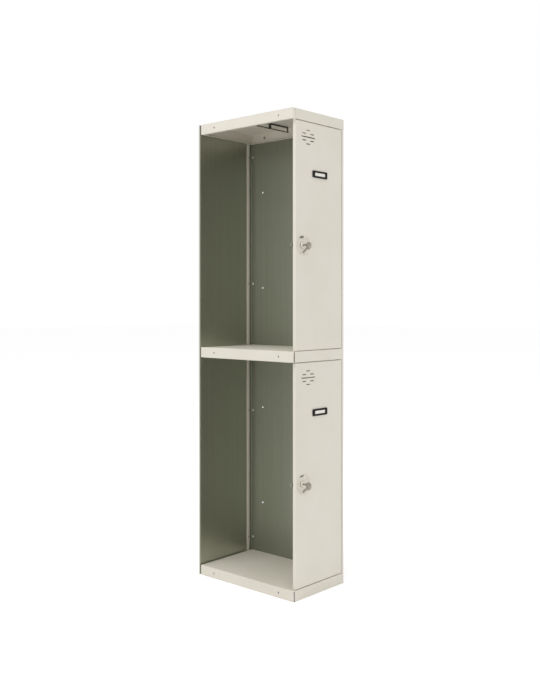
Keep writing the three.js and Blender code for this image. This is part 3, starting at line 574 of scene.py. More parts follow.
side_outline = [(STILE_LEFT + STILE_LIP, STILE_REAR), (STILE_LEFT, STILE_REAR), (STILE_LEFT, FRONT),
                (RIGHT, FRONT), (RIGHT, FLANGE_FACE), (FLANGE_LEFT, FLANGE_FACE), (FLANGE_LEFT, HEM_FACE),
                (HEM_END, HEM_FACE)]
side_radii = [BEND_RADIUS] * 4 + [HEM_RADIUS] * 2
side_panel = folded_sheet(side_outline, side_radii, 0, panel_high, "right_side_panel_sheet",
                          pale_coat, lacquered_zinc, cut_edge)
side_cuts = [rod(SPARE_HOLE_RADIUS, *THROUGH_SKIN, "x", (0, y, z))
             for z in SPARE_HOLE_HEIGHTS for y in SPARE_HOLE_PLACES]
side_cuts += [rod(BOLT_HOLE_RADIUS, *THROUGH_SKIN, "x", (0, y, z))
              for z in TRAY_BOLT_HEIGHTS.values() for y in BOLT_PLACES.values()]
side_cuts += [rod(BOLT_HOLE_RADIUS, *THROUGH_SKIN, "x", (0, PLUG_Y, z)) for z in FIXING_HEIGHTS]
side_cuts += [rod(SCREW_HOLE_RADIUS, *THROUGH_FLANGE, "y", (SCREW_X, 0, z)) for z in FIXING_HEIGHTS]
side_cuts += [prism(NOTCH_WIDTH, NOTCH_HEIGHT, *THROUGH_HEM, "y", (NOTCH_X, 0, z), NOTCH_CORNER)
              for z in FIXING_HEIGHTS]
side_cuts += [prism(CAP_WIDTH, CAP_DEPTH, STILE_TOP, OVER_PANEL, "z", (CAP_X, CAP_Y, 0))]
cut(side_panel, side_cuts)
cut(side_panel, [prism(FACE_WIDTH, FACE_DEPTH, STILE_TOP, OVER_PANEL, "z", (CAP_X, FACE_Y, 0))])
stand_for(rounded(side_panel, radius=0.15, sharper_than=60), "right_side_panel")
print("side panel faces:", len(side_panel.data.polygons))

# %% [markdown]
# ## Back panel
# It is a shallow hat: a flat sheet with a flange and a lip turned back at each side, so its edges stiffen it
# and give a plane to stand against a wall. Its zinc side faces the compartments. Only the four rear screws
# pierce it.

# %% Back panel
SHEET_REAR, LIP_FACE, LIP_END = 243.8, 249.2, 143
THROUGH_BACK = (240, 247)
back_outline = [(LIP_END, LIP_FACE), (RIGHT - PANEL_GAUGE, LIP_FACE), (RIGHT - PANEL_GAUGE, SHEET_REAR),
                (PANEL_GAUGE - RIGHT, SHEET_REAR), (PANEL_GAUGE - RIGHT, LIP_FACE), (-LIP_END, LIP_FACE)]
back_panel = folded_sheet(back_outline, [BEND_RADIUS - PANEL_GAUGE] * 4, 0, panel_high, "back_panel_sheet",
                          pale_coat, bright_zinc, cut_edge)
cut(back_panel, [rod(SCREW_HOLE_RADIUS, *THROUGH_BACK, "y", (SCREW_X, 0, z)) for z in FIXING_HEIGHTS])
stand_for(rounded(back_panel, radius=0.15, sharper_than=60), "back_panel")
print("back panel faces:", len(back_panel.data.polygons))

# %% [markdown]
# ## Trays, rails and stiffeners
# The three trays are folded pans whose plates, flanges and lips are already exact in the frame, down to the
# corner slots and bolt holes. So each is dressed as a copy: the loose triangles are merged, flat areas become
# single faces, and the punched rims get a small round. Smooth shading with weighted normals turns the three
# facets of each bend into one soft fold. The slot at the open front corner of the two lower trays is 5 mm
# wide in the frame and is opened to 6.8 mm here, because it shows as a wider dark line. The cut starts inside
# the slot that is there and moves only its right side.

# %% Dressed copies
MERGE_MM = 0.01
FLAT_WITHIN, BEND_FACETS = math.radians(0.6), 38
TRAY_GAUGE = 1
CUT_FROM, SLOT_RIGHT, SLOT_DEEP = -148.6, -142.2, 12.5


def dressed(node, suffix, material, edge_radius, segments=2, punched=()):
    """A merged copy of a node with rounded edges and a finish, and any further punching."""
    shape = bmesh.new()
    shape.from_mesh(frame["nodes"][node].data)
    bmesh.ops.remove_doubles(shape, verts=shape.verts, dist=MERGE_MM * MM)
    bmesh.ops.dissolve_limit(shape, angle_limit=FLAT_WITHIN, verts=shape.verts, edges=shape.edges,
                             use_dissolve_boundaries=False)
    bmesh.ops.transform(shape, matrix=TO_DRAWING, verts=shape.verts)
    piece = piece_from(shape, f"{node}_{suffix}", material)
    if punched:
        cut(piece, punched)
    rounded(piece, edge_radius, segments, sharper_than=BEND_FACETS)
    return stand_for(piece, node)


def corner_slot(tray):
    low, high = (corner.z for corner in drawn_box(tray))
    return prism(SLOT_RIGHT - CUT_FROM, SLOT_DEEP, low - 1, high - 2 * TRAY_GAUGE, "z",
                 ((CUT_FROM + SLOT_RIGHT) / 2, FRONT - 1 + SLOT_DEEP / 2, 0))


dressed("top_tray", "pan", pale_coat, edge_radius=0.2)
for tray in ("middle_shelf", "bottom_tray"):
    dressed(tray, "pan", pale_coat, edge_radius=0.2, punched=[corner_slot(tray)])
for tier in ("upper", "lower"):
    # The straps take the dark finish, which paints in part of the shade under the top tray.
    dressed(f"{tier}_hanger_rail", "strap", strap_paint_and_painted_shade, edge_radius=0.3)
    dressed(f"{tier}_door_stiffener", "hat_section", pale_coat, edge_radius=0.15)
print("trays, rails and stiffeners are dressed")

# %% [markdown]
# ## Door pans
# A door is a deep-drawn and folded pan: a flat face, four returns and a lip turned in behind, with a round
# dish pressed into the face for the fingers and the lock. A cube whose front and back edges are bevelled
# gives the folded box, its open back is an inset, and the dish is rings extruded from one circle, which is
# how the press would draw it. Solidify then gives the sheet its 1 mm, and the punched vents and holes are cut
# last.

# %% Door pans
DOOR_LEFT, DOOR_RIGHT, DOOR_REAR, DOOR_GAUGE, DOOR_LIP = -137.5, 136.8, -235, 1, 12
DISH_RADIUS, DISH_FLOOR_RADIUS, DISH_DEPTH, DISH_FLAT = 39, 31, 8, 3.2
DISH_STEPS, DISH_ROUND, DISH_ROUND_STEPS = 72, 2.6, 4
HINGE_X, HINGE_Y = 130.5, -243.5
LOCK_X = -92
LOCK_BELOW_MIDDLE = 34.5
VENT_X, VENT_DROP, VENT_PITCH, VENT_SHIFT = -66, 56, 12.6, 22.5
VENT_SLOT, VENT_LONG, VENT_HIGH, VENT_END_STEPS = 22, 80, 4.4, 6
VENT_END = VENT_HIGH / 2 - 0.05
VENT_ROWS = {-2: [0], -1: [-1, 1], 1: [-1, 1], 2: [0]}
HOLDER_X, HOLDER_DROP, PEG_SHIFT, PEG_HOLE_RADIUS = 1, 188.5, 37, 1.9
FINGER_WIDTH, FINGER_HEIGHT, FINGER_CORNER, FINGER_SHIFT, FINGER_RISE = 24, 8.5, 2.5, -3.5, 29.5
LOCK_BORE_RADIUS, BUSH_HOLE_RADIUS, BUSH_CUT = 9.8, 4, 6
THROUGH_FACE, THROUGH_WALL, THROUGH_FLOOR = (-252, -246), (-246, -238), (-244, -238)
SQUARE_ON, IN_PLANE_MM = 0.999, 0.1
DOORS = {}
for tier in ("upper", "lower"):
    box_low, box_high = drawn_box(f"{tier}_door_panel")
    DOORS[tier] = (box_low.z, box_high.z, (box_low.z + box_high.z) / 2 - LOCK_BELOW_MIDDLE)


def edges_between(shape, points):
    ring = set(points)
    return [edge for edge in shape.edges if edge.verts[0] in ring and edge.verts[1] in ring]


def ring_step(shape, edges, scale, sink, centre):
    """Extrudes a ring of edges, scaled about the dish's axis and sunk into the door."""
    ends = points_of(bmesh.ops.extrude_edge_only(shape, edges=edges)["geom"])
    bmesh.ops.scale(shape, vec=(scale, 1, scale), verts=ends, space=Matrix.Translation(-centre))
    bmesh.ops.translate(shape, vec=(0, sink, 0), verts=ends)
    return edges_between(shape, ends)


def door_pan(tier):
    low, high, lock_z = DOORS[tier]
    shape = bmesh.new()
    bmesh.ops.create_cube(shape, size=1)
    bmesh.ops.scale(shape, vec=(DOOR_RIGHT - DOOR_LEFT, DOOR_REAR - FRONT, high - low), verts=shape.verts)
    middle = Vector(((DOOR_LEFT + DOOR_RIGHT) / 2, (FRONT + DOOR_REAR) / 2, (low + high) / 2))
    bmesh.ops.translate(shape, vec=middle, verts=shape.verts)
    folds = [edge for edge in shape.edges if abs(edge.verts[0].co.y - edge.verts[1].co.y) < IN_PLANE_MM]
    round_edges(shape, folds, BEND_RADIUS, BEND_STEPS)
    shape.normal_update()
    back = [face for face in shape.faces if face.normal.y > SQUARE_ON]
    bmesh.ops.inset_region(shape, faces=back, thickness=DOOR_LIP - BEND_RADIUS, use_even_offset=True)
    bmesh.ops.delete(shape, geom=back, context="FACES")
    face = next(face for face in shape.faces if face.normal.y < -SQUARE_ON)
    frame_edges = list(face.edges)
    bmesh.ops.delete(shape, geom=[face], context="FACES_ONLY")

    centre = Vector((LOCK_X, FRONT, lock_z))
    start = bmesh.ops.create_circle(shape, segments=DISH_STEPS, radius=DISH_RADIUS + DISH_FLAT,
                                    matrix=Matrix.Translation(centre) @ AXIS_TURN["y"])["verts"]
    outer = edges_between(shape, start)
    bmesh.ops.triangle_fill(shape, use_beauty=True, edges=frame_edges + outer)
    rim = ring_step(shape, outer, DISH_RADIUS / (DISH_RADIUS + DISH_FLAT), 0, centre)
    foot = ring_step(shape, rim, DISH_FLOOR_RADIUS / DISH_RADIUS, DISH_DEPTH, centre)
    bmesh.ops.edgenet_fill(shape, edges=foot)
    round_edges(shape, rim + foot, DISH_ROUND, DISH_ROUND_STEPS)
    bmesh.ops.recalc_face_normals(shape, faces=shape.faces)
    facing = sum(part.normal.y * part.calc_area() for part in shape.faces
                 if part.calc_center_median().y < FRONT + IN_PLANE_MM)
    if facing > 0:
        bmesh.ops.reverse_faces(shape, faces=shape.faces)
    piece = piece_from(shape, f"{tier}_door_pan", pale_coat)
    solid_sheet(piece, DOOR_GAUGE)
    applied(piece)

    vent_z = high - VENT_DROP
    vents = [(VENT_LONG, 0, 0)]
    vents += [(VENT_SLOT, place, row) for row, places in VENT_ROWS.items() for place in places]
    holes = [prism(length, VENT_HIGH, *THROUGH_FACE, "y",
                   (VENT_X + place * VENT_SHIFT, 0, vent_z + row * VENT_PITCH), VENT_END, VENT_END_STEPS)
             for length, place, row in vents]
    holes += [prism(FINGER_WIDTH, FINGER_HEIGHT, *THROUGH_WALL, "y",
                    (LOCK_X + FINGER_SHIFT, 0, lock_z + FINGER_RISE), FINGER_CORNER)]
    holes += [rod(LOCK_BORE_RADIUS, *THROUGH_FLOOR, "y", (LOCK_X, 0, lock_z), steps=48)]
    holes += [rod(PEG_HOLE_RADIUS, *THROUGH_FACE, "y",
                  (HOLDER_X + side * PEG_SHIFT, 0, high - HOLDER_DROP), steps=24) for side in (-1, 1)]
    holes += [rod(BUSH_HOLE_RADIUS, end - BUSH_CUT, end + BUSH_CUT, "z", (HINGE_X, HINGE_Y, 0))
              for end in (low, high)]
    cut(piece, holes)
    return stand_for(rounded(piece, radius=0.12), f"{tier}_door_panel")


for tier in DOORS:
    pan = door_pan(tier)
    print(pan.name, "faces:", len(pan.data.polygons))

# %% [markdown]
# ## Card holders and cards
# A holder is one black moulding with a window, pushed into the door by two pegs, and a slip of card lies in
# the pocket behind the window. Its moulded edges are rounder than cut metal, so they get a larger radius.

# %% Card holders
HOLDER_FACE, HOLDER_BACK, POCKET_FACE, POCKET_BACK = -253.5, -250.3, -252.3, -248
HOLDER_WIDTH, HOLDER_HEIGHT, HOLDER_CORNER = 86, 26, 4.5
WINDOW_WIDTH, WINDOW_HEIGHT, WINDOW_CORNER, THROUGH_HOLDER = 60, 12, 2, (-256, -249)
POCKET_WIDTH, POCKET_HEIGHT = 66.6, 17.6
PEG_RADIUS, PEG_RUN = 1.6, (-252.8, -247)


def card_holder(tier):
    z = DOORS[tier][1] - HOLDER_DROP
    place = (HOLDER_X, 0, z)
    plate = prism(HOLDER_WIDTH, HOLDER_HEIGHT, HOLDER_FACE, HOLDER_BACK, "y", place, HOLDER_CORNER, steps=8)
    holder = piece_from(plate, f"{tier}_card_holder_moulding", black_plastic)
    cut(holder, [prism(WINDOW_WIDTH, WINDOW_HEIGHT, *THROUGH_HOLDER, "y", place, WINDOW_CORNER)])
    cut(holder, [prism(POCKET_WIDTH, POCKET_HEIGHT, POCKET_FACE, POCKET_BACK, "y", place)])
    pegs = [rod(PEG_RADIUS, *PEG_RUN, "y", (HOLDER_X + side * PEG_SHIFT, 0, z), steps=24) for side in (-1, 1)]
    cut(holder, pegs, "UNION")
    stand_for(rounded(holder, radius=0.45, segments=3), f"{tier}_card_holder")
    dressed(f"{tier}_card", "slip", white_card, edge_radius=0.05, segments=1)
    return holder


for tier in DOORS:
    print(card_holder(tier).name)

# %% [markdown]
# ## Locks
# Each lock is a turned body with a domed rosette and a threaded barrel behind the door, a plug that carries
# the keyway, a square and a stud for the cam, and two hexagon nuts. Turned parts are spun from a profile.
# Threads are drawn as rings 1 mm apart, because a true helix looks the same at this size.

# %% Lock parts
ROSETTE_FACE, PLUG_FACE, DISH_SEAT, BARREL_END = -249.3, -250.1, -242.3, -230
ROSETTE_PROFILE = [(8.9, 0), (10.2, 0.7), (11.3, 2.2), (12, 4.2)]
ROSETTE_RADIUS, BARREL_RADIUS, CORE_BORE, THREAD_START = 12, 9.5, 6.3, -240.5
PLUG_RADIUS, PLUG_CHAMFER, CAM_SQUARE = 6, 0.6, 8
STUD_RADIUS, SQUARE_END, STUD_END = 3, -226.8, -222.4
KEYWAY_WIDTH, KEYWAY_HEIGHT, KEYWAY_RUN = 2.8, 8.8, (-256, -234.1)
THREAD_PITCH, THREAD_DEPTH, THREAD_GAP = 1.0, 0.35, 0.1
DOME_STEPS = 8
# Width across the flats, radius of the bore, and the two faces
LOCK_NUTS = {"lock": (25, 9.8, -240.7, -235.7), "cam": (10, 3.3, -226.5, -223.1)}
NUT_TURN, CORNER_CUT, LENS_MARGIN, BORE_CUT = 30, 0.55, 0.4, 2


def thread(radius, low, high):
    """Profile points of a thread: crests at the radius and roots below it."""
    turns = int((high - low) / THREAD_PITCH)
    points = []
    for turn in range(turns):
        at = low + turn * THREAD_PITCH
        points += [(radius, at), (radius - THREAD_DEPTH, at + THREAD_PITCH / 2)]
    return points + [(radius, low + turns * THREAD_PITCH)]


def dome(radius, base, rise):
    """A quarter of an ellipse, from the rim at the base to the crown on the axis."""
    turns = [math.pi / 2 * step / DOME_STEPS for step in range(DOME_STEPS + 1)]
    rim = [(radius * math.cos(turn), base + rise * math.sin(turn)) for turn in turns[:-1]]
    return rim + [(0, base + rise)]


def nut(name, flats, bore, low, high, axis, place, material, turn=0):
    """A hexagon nut with its corners turned off on both faces."""
    piece = piece_from(hexagonal(flats, low, high, axis, place, turn), name, material)
    reach = flats / 2 * HEXAGON_CORNER
    cone = (reach - flats / 2) * CORNER_CUT
    face, widest = reach - cone, reach + LENS_MARGIN
    lens = [(0, low), (face, low), (widest, low + cone), (widest, high - cone), (face, high), (0, high)]
    cut(piece, [turned(lens, axis, place)], "INTERSECT")
    cut(piece, [rod(bore, low - BORE_CUT, high + BORE_CUT, axis, place)])
    return rounded(piece, radius=0.12)


def lock_set(tier):
    place = (LOCK_X, 0, DOORS[tier][2])
    body = [(CORE_BORE, ROSETTE_FACE)]
    body += [(radius, ROSETTE_FACE + depth) for radius, depth in ROSETTE_PROFILE]
    body += [(ROSETTE_RADIUS, DISH_SEAT), (BARREL_RADIUS, DISH_SEAT)]
    body += [(BARREL_RADIUS, THREAD_START - THREAD_PITCH / 2)] + thread(BARREL_RADIUS, THREAD_START, BARREL_END)
    body += [(CORE_BORE, BARREL_END), (CORE_BORE, ROSETTE_FACE)]
    shell = piece_from(turned(body, "y", place, steps=64), f"{tier}_lock_shell", satin_nickel)
    stand_for(rounded(shell, radius=0.25, segments=2, sharper_than=42), f"{tier}_lock_body")

    plug = [(0, PLUG_FACE), (PLUG_RADIUS - PLUG_CHAMFER, PLUG_FACE), (PLUG_RADIUS, PLUG_FACE + PLUG_CHAMFER),
            (PLUG_RADIUS, BARREL_END), (STUD_RADIUS, BARREL_END), (0, BARREL_END)]
    core = piece_from(turned(plug, "y", place, steps=64), f"{tier}_lock_core", satin_nickel)
    cut(core, [prism(CAM_SQUARE, CAM_SQUARE, BARREL_END - 1, SQUARE_END, "y", place)], "UNION")
    stud = [(0, SQUARE_END - 1), (STUD_RADIUS, SQUARE_END - 1), (STUD_RADIUS, SQUARE_END)]
    stud += thread(STUD_RADIUS, SQUARE_END + THREAD_GAP, STUD_END) + [(0, STUD_END)]
    cut(core, [turned(stud, "y", place, steps=32)], "UNION")
    cut(core, [prism(KEYWAY_WIDTH, KEYWAY_HEIGHT, *KEYWAY_RUN, "y", place)])
    stand_for(rounded(core, radius=0.15), f"{tier}_lock_plug")

    for held, (flats, bore, low, high) in LOCK_NUTS.items():
        ring_nut = nut(f"{tier}_{held}_ring_nut", flats, bore, low, high, "y", place, zinc_plate, NUT_TURN)
        stand_for(ring_nut, f"{tier}_{held}_nut")
    dressed(f"{tier}_lock_cam", "bar", zinc_plate, edge_radius=0.3)


for tier in DOORS:
    lock_set(tier)
print("locks at heights:", [round(door[2], 1) for door in DOORS.values()])

# %% [markdown]
# ## Keys on a split ring
# Keys are stamped from 2.2 mm nickel-plated steel and tumbled, so their edges are well rounded. A key is
# drawn once, with the centre of its hole at the origin and its tip towards Y, and then set in its place: one
# key in the lock, and the spare tilted and hung beside it. The ring that joins them is wire wound twice
# round, which a spin with a small climb along its axis draws directly.

# %% Keys and split rings
KEY_GAUGE, KEY_HOLE, PUNCH_REACH = 2.2, 2.4, 2
KEY_TIP, KEY_SHOULDER, KEY_NECK, BOW_END = 43.4, 19.4, 16.9, -4.6
HALF_BLADE, HALF_NECK, HALF_BOW, TIP_SLOPE = 4, 6.82, 11, 3
BOW_PULL, BOW_WIDEST, CURVE_STEPS = 14.4, 9.4, 14
GROOVE_DEPTH, GROOVE_HEIGHT, GROOVE_PLACES = 0.9, 1.5, {-1: 1.4, 1: -0.2}
TOOTH_PITCH, TOOTH_FLANK, TOOTH_DEPTH, TOOTH_COUNT = 4.4, 1.45, 1.6, 3
RING_RADIUS, RING_WIRE, RING_TURNS, RING_TILT = 6.5, 0.34, 2, math.radians(-30)
RING_STEPS, RING_CLOSED = 48, 0.99
KEY_GAP, KEY_HOLE_Y, RING_SEAT = 1.3, -281.5, 0.9407
SPARE_TILT = math.radians(-38)


def curve(start, pull, end):
    """Points of a quadratic curve, without its start."""
    points = []
    for step in range(1, CURVE_STEPS + 1):
        part = step / CURVE_STEPS
        points.append(tuple((1 - part) ** 2 * a + 2 * part * (1 - part) * b + part ** 2 * c
                            for a, b, c in zip(start, pull, end)))
    return points


def key_outline():
    upper = [(KEY_SHOULDER, HALF_BLADE), (KEY_NECK, HALF_NECK)]
    upper += curve((KEY_NECK, HALF_NECK), (BOW_PULL, HALF_BOW), (BOW_WIDEST, HALF_BOW))
    upper += curve((BOW_WIDEST, HALF_BOW), (BOW_END, HALF_BOW), (BOW_END, 0))
    lower = [(along, -height) for along, height in reversed(upper[:-1])]
    teeth = []
    for tooth in range(1, TOOTH_COUNT + 1):
        at = KEY_SHOULDER + tooth * TOOTH_PITCH
        teeth += [(at - TOOTH_FLANK, -HALF_BLADE), (at, TOOTH_DEPTH - HALF_BLADE),
                  (at + TOOTH_FLANK, -HALF_BLADE)]
    slope = KEY_TIP - TIP_SLOPE
    return [(KEY_TIP, 0), (slope, HALF_BLADE)] + upper + lower + teeth + [(slope, -HALF_BLADE)]


def stamped_key(name, seat):
    shape = bmesh.new()
    rim = [shape.verts.new((-KEY_GAUGE / 2, along, height)) for along, height in key_outline()]
    raised = bmesh.ops.extrude_face_region(shape, geom=[shape.faces.new(rim)])["geom"]
    bmesh.ops.translate(shape, vec=(KEY_GAUGE, 0, 0), verts=points_of(raised))
    bmesh.ops.recalc_face_normals(shape, faces=shape.faces)
    key = piece_from(shape, name, key_nickel)
    cut(key, [rod(KEY_HOLE, -PUNCH_REACH, PUNCH_REACH, "x", (0, 0, 0), steps=36)])
    cut(key, [prism(GROOVE_DEPTH, GROOVE_HEIGHT, KEY_SHOULDER - 1, KEY_TIP + 1, "y",
                    (side * KEY_GAUGE / 2, 0, height)) for side, height in GROOVE_PLACES.items()])
    key.data.transform(TO_FRAME @ seat @ TO_DRAWING)
    return rounded(key, radius=0.3, segments=2, sharper_than=44)


def split_ring(tier):
    shape = bmesh.new()
    start = Matrix.Translation((RING_RADIUS, 0, -RING_WIRE)) @ AXIS_TURN["y"]
    section = bmesh.ops.create_circle(shape, segments=12, radius=RING_WIRE, matrix=start)
    edges = list(shape.edges)
    steps = RING_STEPS * RING_TURNS
    bmesh.ops.spin(shape, geom=section["verts"] + edges, cent=(0, 0, 0), axis=UP, steps=steps,
                   dvec=(0, 0, 2 * RING_WIRE * (RING_TURNS - 1) / steps),
                   angle=math.tau * RING_TURNS * RING_CLOSED)
    bmesh.ops.holes_fill(shape, edges=[edge for edge in shape.edges if edge.is_boundary])
    bmesh.ops.recalc_face_normals(shape, faces=shape.faces)
    seat = Matrix.Translation((LOCK_X - KEY_GAP, KEY_HOLE_Y, DOORS[tier][2] - RING_SEAT))
    hung = seat @ Matrix.Rotation(RING_TILT, 4, "X") @ Matrix.Translation((0, 0, -RING_RADIUS))
    bmesh.ops.transform(shape, matrix=hung @ Matrix.Rotation(math.radians(90), 4, "X"), verts=shape.verts)
    ring = piece_from(shape, f"{tier}_split_ring", satin_nickel)
    for face in ring.data.polygons:
        face.use_smooth = True
    return stand_for(ring, f"{tier}_key_ring")


for tier in DOORS:
    split_ring(tier)
    lock_z = DOORS[tier][2]
    in_lock = Matrix.Translation((LOCK_X, KEY_HOLE_Y, lock_z))
    stand_for(stamped_key(f"{tier}_stamped_key", in_lock), f"{tier}_key")
    hung = Matrix.Translation((LOCK_X - 2 * KEY_GAP, KEY_HOLE_Y, lock_z - 2 * RING_SEAT))
    stand_for(stamped_key(f"{tier}_stamped_spare_key", hung @ Matrix.Rotation(SPARE_TILT, 4, "X")),
              f"{tier}_spare_key")
print("keys and rings hang at", round(KEY_HOLE_Y, 1), "mm")

# %% [markdown]
# ## Bolts, screws, plugs, pins and bushes
# Tray bolts are M6 with a mushroom head, the rear screws are pan heads with a cross recess, and the joining
# holes beside them are closed with nylon plugs. All of these are spun, and a cross recess is two crossed bars
# cut out. The pins and bushes of the hinges are dressed copies.

# %% Fasteners
BOLT_SEAT, BOLT_TAIL, BOLT_RADIUS, TAIL_CHAMFER, BOLT_THREAD_GAP = 150.3, 141.4, 3, 0.4, 2
HEAD_RADIUS, HEAD_RIM, HEAD_RISE, BOLT_RECESS, RECESS_FLOOR, RECESS_TOP = 6, 0.3, 2.5, 5, 1.2, 5
# Width across the flats, radius of the bore, and the two faces
BOLT_NUT = (10, 3.3, 142.6, 147.6)
SCREW_SEAT, SCREW_TIP, SCREW_RADIUS, SCREW_THREAD_GAP, SCREW_POINT = 241.6, 247.8, 2, 0.2, 2
SCREW_RECESS, SCREW_RECESS_FLOOR, SCREW_RECESS_TOP = 3.6, 0.7, 3
# A radius and a distance for each point, inwards from the seat, and for the tail from the panel's outer face
SCREW_HEAD = [(0, 1.6), (2.8, 1.6), (3.7, 1.1), (4, 0.5), (4, 0), (2, 0)]
PLUG_SEAT = 148.9
PLUG_HEAD = [(0, 1.6), (2.6, 1.6), (4, 1.2), (4.6, 0.4), (4.6, 0), (3.2, 0)]
PLUG_TAIL = [(3.2, 0.4), (2.8, 0), (0, 0)]
RECESS_ARM = 0.22


def cross_recess(size, low, high, axis, place):
    arm = size * RECESS_ARM
    return [prism(size, arm, low, high, axis, place), prism(arm, size, low, high, axis, place)]


def tray_bolt(tray, end):
    place = (0, BOLT_PLACES[end], TRAY_BOLT_HEIGHTS[tray])
    profile = [(0, BOLT_TAIL), (BOLT_RADIUS - TAIL_CHAMFER, BOLT_TAIL)]
    profile += thread(BOLT_RADIUS, BOLT_TAIL + TAIL_CHAMFER, BOLT_SEAT - BOLT_THREAD_GAP)
    profile += [(BOLT_RADIUS, BOLT_SEAT), (HEAD_RADIUS, BOLT_SEAT)]
    profile += dome(HEAD_RADIUS, BOLT_SEAT + HEAD_RIM, HEAD_RISE)
    bolt = piece_from(turned(profile, "x", place, steps=40), f"{tray}_{end}_mushroom_bolt", zinc_plate)
    for bar in cross_recess(BOLT_RECESS, BOLT_SEAT + RECESS_FLOOR, BOLT_SEAT + RECESS_TOP, "x", place):
        cut(bolt, [bar])
    stand_for(rounded(bolt, radius=0.12), f"{tray}_{end}_bolt")
    stand_for(nut(f"{tray}_{end}_hexagon_nut", *BOLT_NUT, "x", place, zinc_plate), f"{tray}_{end}_nut")


for tray in TRAY_BOLT_HEIGHTS:
    for end in BOLT_PLACES:
        tray_bolt(tray, end)

for count, z in enumerate(FIXING_HEIGHTS, 1):
    place = (SCREW_X, 0, z)
    profile = [(radius, SCREW_SEAT - rise) for radius, rise in SCREW_HEAD]
    profile += thread(SCREW_RADIUS, SCREW_SEAT + SCREW_THREAD_GAP, SCREW_TIP - SCREW_POINT) + [(0, SCREW_TIP)]
    screw = piece_from(turned(profile, "y", place, steps=32), f"rear_pan_head_screw_{count}", zinc_plate)
    for bar in cross_recess(SCREW_RECESS, SCREW_SEAT - SCREW_RECESS_TOP, SCREW_SEAT - SCREW_RECESS_FLOOR,
                            "y", place):
        cut(screw, [bar])
    stand_for(rounded(screw, radius=0.1), f"back_panel_screw_{count}")
    place = (0, PLUG_Y, z)
    profile = [(radius, PLUG_SEAT - rise) for radius, rise in PLUG_HEAD]
    profile += [(radius, RIGHT - rise) for radius, rise in PLUG_TAIL]
    stopper = piece_from(turned(profile, "x", place, steps=32), f"push_in_plug_{count}", natural_nylon)
    stand_for(rounded(stopper, radius=0.1), f"joining_hole_plug_{count}")

for tier in DOORS:
    for end in ("top", "bottom"):
        dressed(f"{tier}_door_{end}_pin", "turned", zinc_plate, edge_radius=0.2)
        dressed(f"{tier}_{end}_bush", "moulded", natural_nylon, edge_radius=0.25)
print("every fastener is dressed")

# %% [markdown]
# ## Floor and white surroundings
# A studio shot on white: the floor is a near-white sheet that takes only a soft contact shadow, and the world
# is plain white for the camera, for mirror reflections and through glass. What lights the object is a dimmer
# world plus large soft lamps, so the white surroundings never wash out the pale paint.

# %% Floor and world
scene = bpy.context.scene
FLOOR_SIZE_M, FLOOR_DROP_MM, FLOOR_LIFT = 60, 0.2, 0.24


def seen_by_eye(tree):
    """1 for rays of the camera, off a mirror or through glass, and 0 for those that carry light."""
    path = add(tree, "ShaderNodeLightPath")
    either = add(tree, "ShaderNodeMath", {0: path.outputs["Is Camera Ray"], 1: path.outputs["Is Glossy Ray"]},
                 operation="ADD").outputs[0]
    return add(tree, "ShaderNodeMath", {0: either, 1: path.outputs["Is Transmission Ray"]},
               operation="ADD", use_clamp=True).outputs[0]


def studio_floor(name):
    """White for the camera, less what a diffuse sheet shows of the shadow."""
    material, tree = new_material(name)
    seen = seen_by_eye(tree)
    sheet = add(tree, "ShaderNodeBsdfDiffuse", {"Color": linear("#FAFAFA")}).outputs["BSDF"]
    lift = add(tree, "ShaderNodeMath", {0: seen, 1: FLOOR_LIFT}, operation="MULTIPLY").outputs[0]
    glow = add(tree, "ShaderNodeEmission", {"Color": linear("#FFFFFF"), "Strength": lift}).outputs["Emission"]
    both = add(tree, "ShaderNodeAddShader", {0: sheet, 1: glow}).outputs["Shader"]
    add(tree, "ShaderNodeOutputMaterial", {"Surface": both})
    return material


ground = bmesh.new()
bmesh.ops.create_grid(ground, x_segments=1, y_segments=1, size=FLOOR_SIZE_M / 2)
ground_mesh = bpy.data.meshes.new("studio_floor")
ground.to_mesh(ground_mesh)
ground.free()
ground_mesh.materials.append(studio_floor("white_studio_sheet"))
floor = bpy.data.objects.new("studio_floor", ground_mesh)
floor.location.z = cad_low.z - FLOOR_DROP_MM * MM
scene.collection.objects.link(floor)
floor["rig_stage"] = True

WORLD_LIGHT = 0.78
world = bpy.data.worlds.new("white_studio")
scene.world = world
world.use_nodes = True
world.node_tree.nodes.clear()
sky = world.node_tree
strength = add(sky, "ShaderNodeMapRange", {"Value": seen_by_eye(sky), "To Min": WORLD_LIGHT, "To Max": 1.0})
white = add(sky, "ShaderNodeBackground", {"Color": linear("#FFFFFF"), "Strength": strength.outputs["Result"]})
add(sky, "ShaderNodeOutputWorld", {"Surface": white.outputs["Background"]})
print("floor at", round(floor.location.z / MM, 2), "mm")

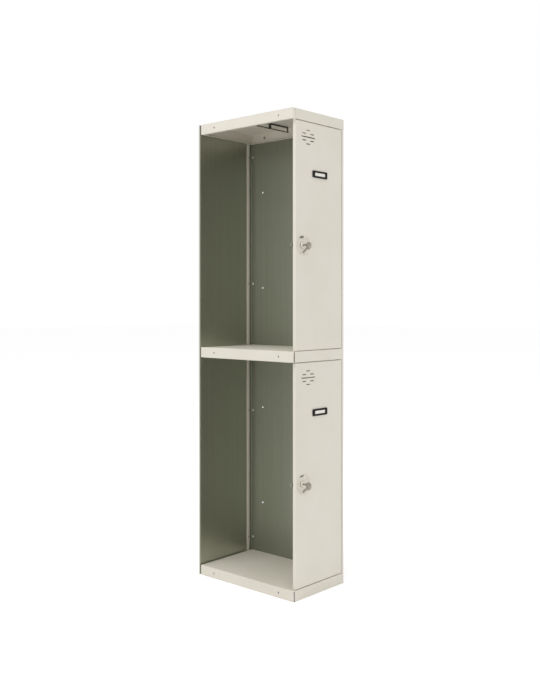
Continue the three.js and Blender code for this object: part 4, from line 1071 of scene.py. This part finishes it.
# %% [markdown]
# ## Lamps
# Two softboxes, as wide as a wall, so every shadow is soft and no lamp shows as a bright spot in the metal.
# One stands high on the open side and lights the floors of the compartments. The other stands before the
# doors and keeps their dishes and vents readable.

# %% Lamps


def softbox(name, place, aim, size, power):
    light = bpy.data.lights.new(name, "AREA")
    light.shape = "SQUARE"
    light.size = size
    light.energy = power
    lamp = bpy.data.objects.new(name, light)
    scene.collection.objects.link(lamp)
    lamp.location = place
    lamp.rotation_euler = (Vector(aim) - Vector(place)).to_track_quat("-Z", "Y").to_euler()
    return lamp


middle_height = (cad_low.z + cad_high.z) / 2
softbox("open_side_light", place=(-1.9, 0.3, 5.4), aim=(0, 0, middle_height), size=4.0, power=130)
softbox("front_light", place=(-1.2, -4.6, 2.7), aim=(0, 0, middle_height), size=4.4, power=26)

# %% [markdown]
# ## Camera
# The photograph was taken from the front left at breast height with the lens level, so all uprights stay
# upright. A level lens needs a small downward shift to frame the whole bay. Its place was worked out from the
# bay's outer corners, and it is counted here from the middle of the footprint.

# %% Camera
CAMERA_FROM_FOOTPRINT = Vector((-2.5593, -2.3044, 1.0921))
CAMERA_TURN = math.radians(-48)
FOCAL_PIXELS, LONG_SIDE_PIXELS, SHIFT_PIXELS = 871.86, 700, -48.114
SENSOR_MM = 36

lens = bpy.data.cameras.new("camera")
lens.sensor_width = SENSOR_MM
lens.lens = FOCAL_PIXELS / LONG_SIDE_PIXELS * SENSOR_MM
lens.shift_y = SHIFT_PIXELS / LONG_SIDE_PIXELS
camera = bpy.data.objects.new("camera", lens)
camera.location = footprint_middle + CAMERA_FROM_FOOTPRINT
camera.rotation_euler = (math.radians(90), 0, CAMERA_TURN)
scene.collection.objects.link(camera)
scene.camera = camera
scene.view_settings.view_transform = "Standard"
print("lens:", round(lens.lens, 2), "mm")

# %% [markdown]
# ## The size, and the end
# The dressed bay has to fill the same box as the frame. Both boxes are written down to be compared.

# %% Write the sizes and finish
seen_low, seen_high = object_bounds()
for corner, planned, drawn in (("low", cad_low, seen_low), ("high", cad_high, seen_high)):
    print(corner, "corner moved by mm:", [round((end - start) / MM, 2) for start, end in zip(planned, drawn)])
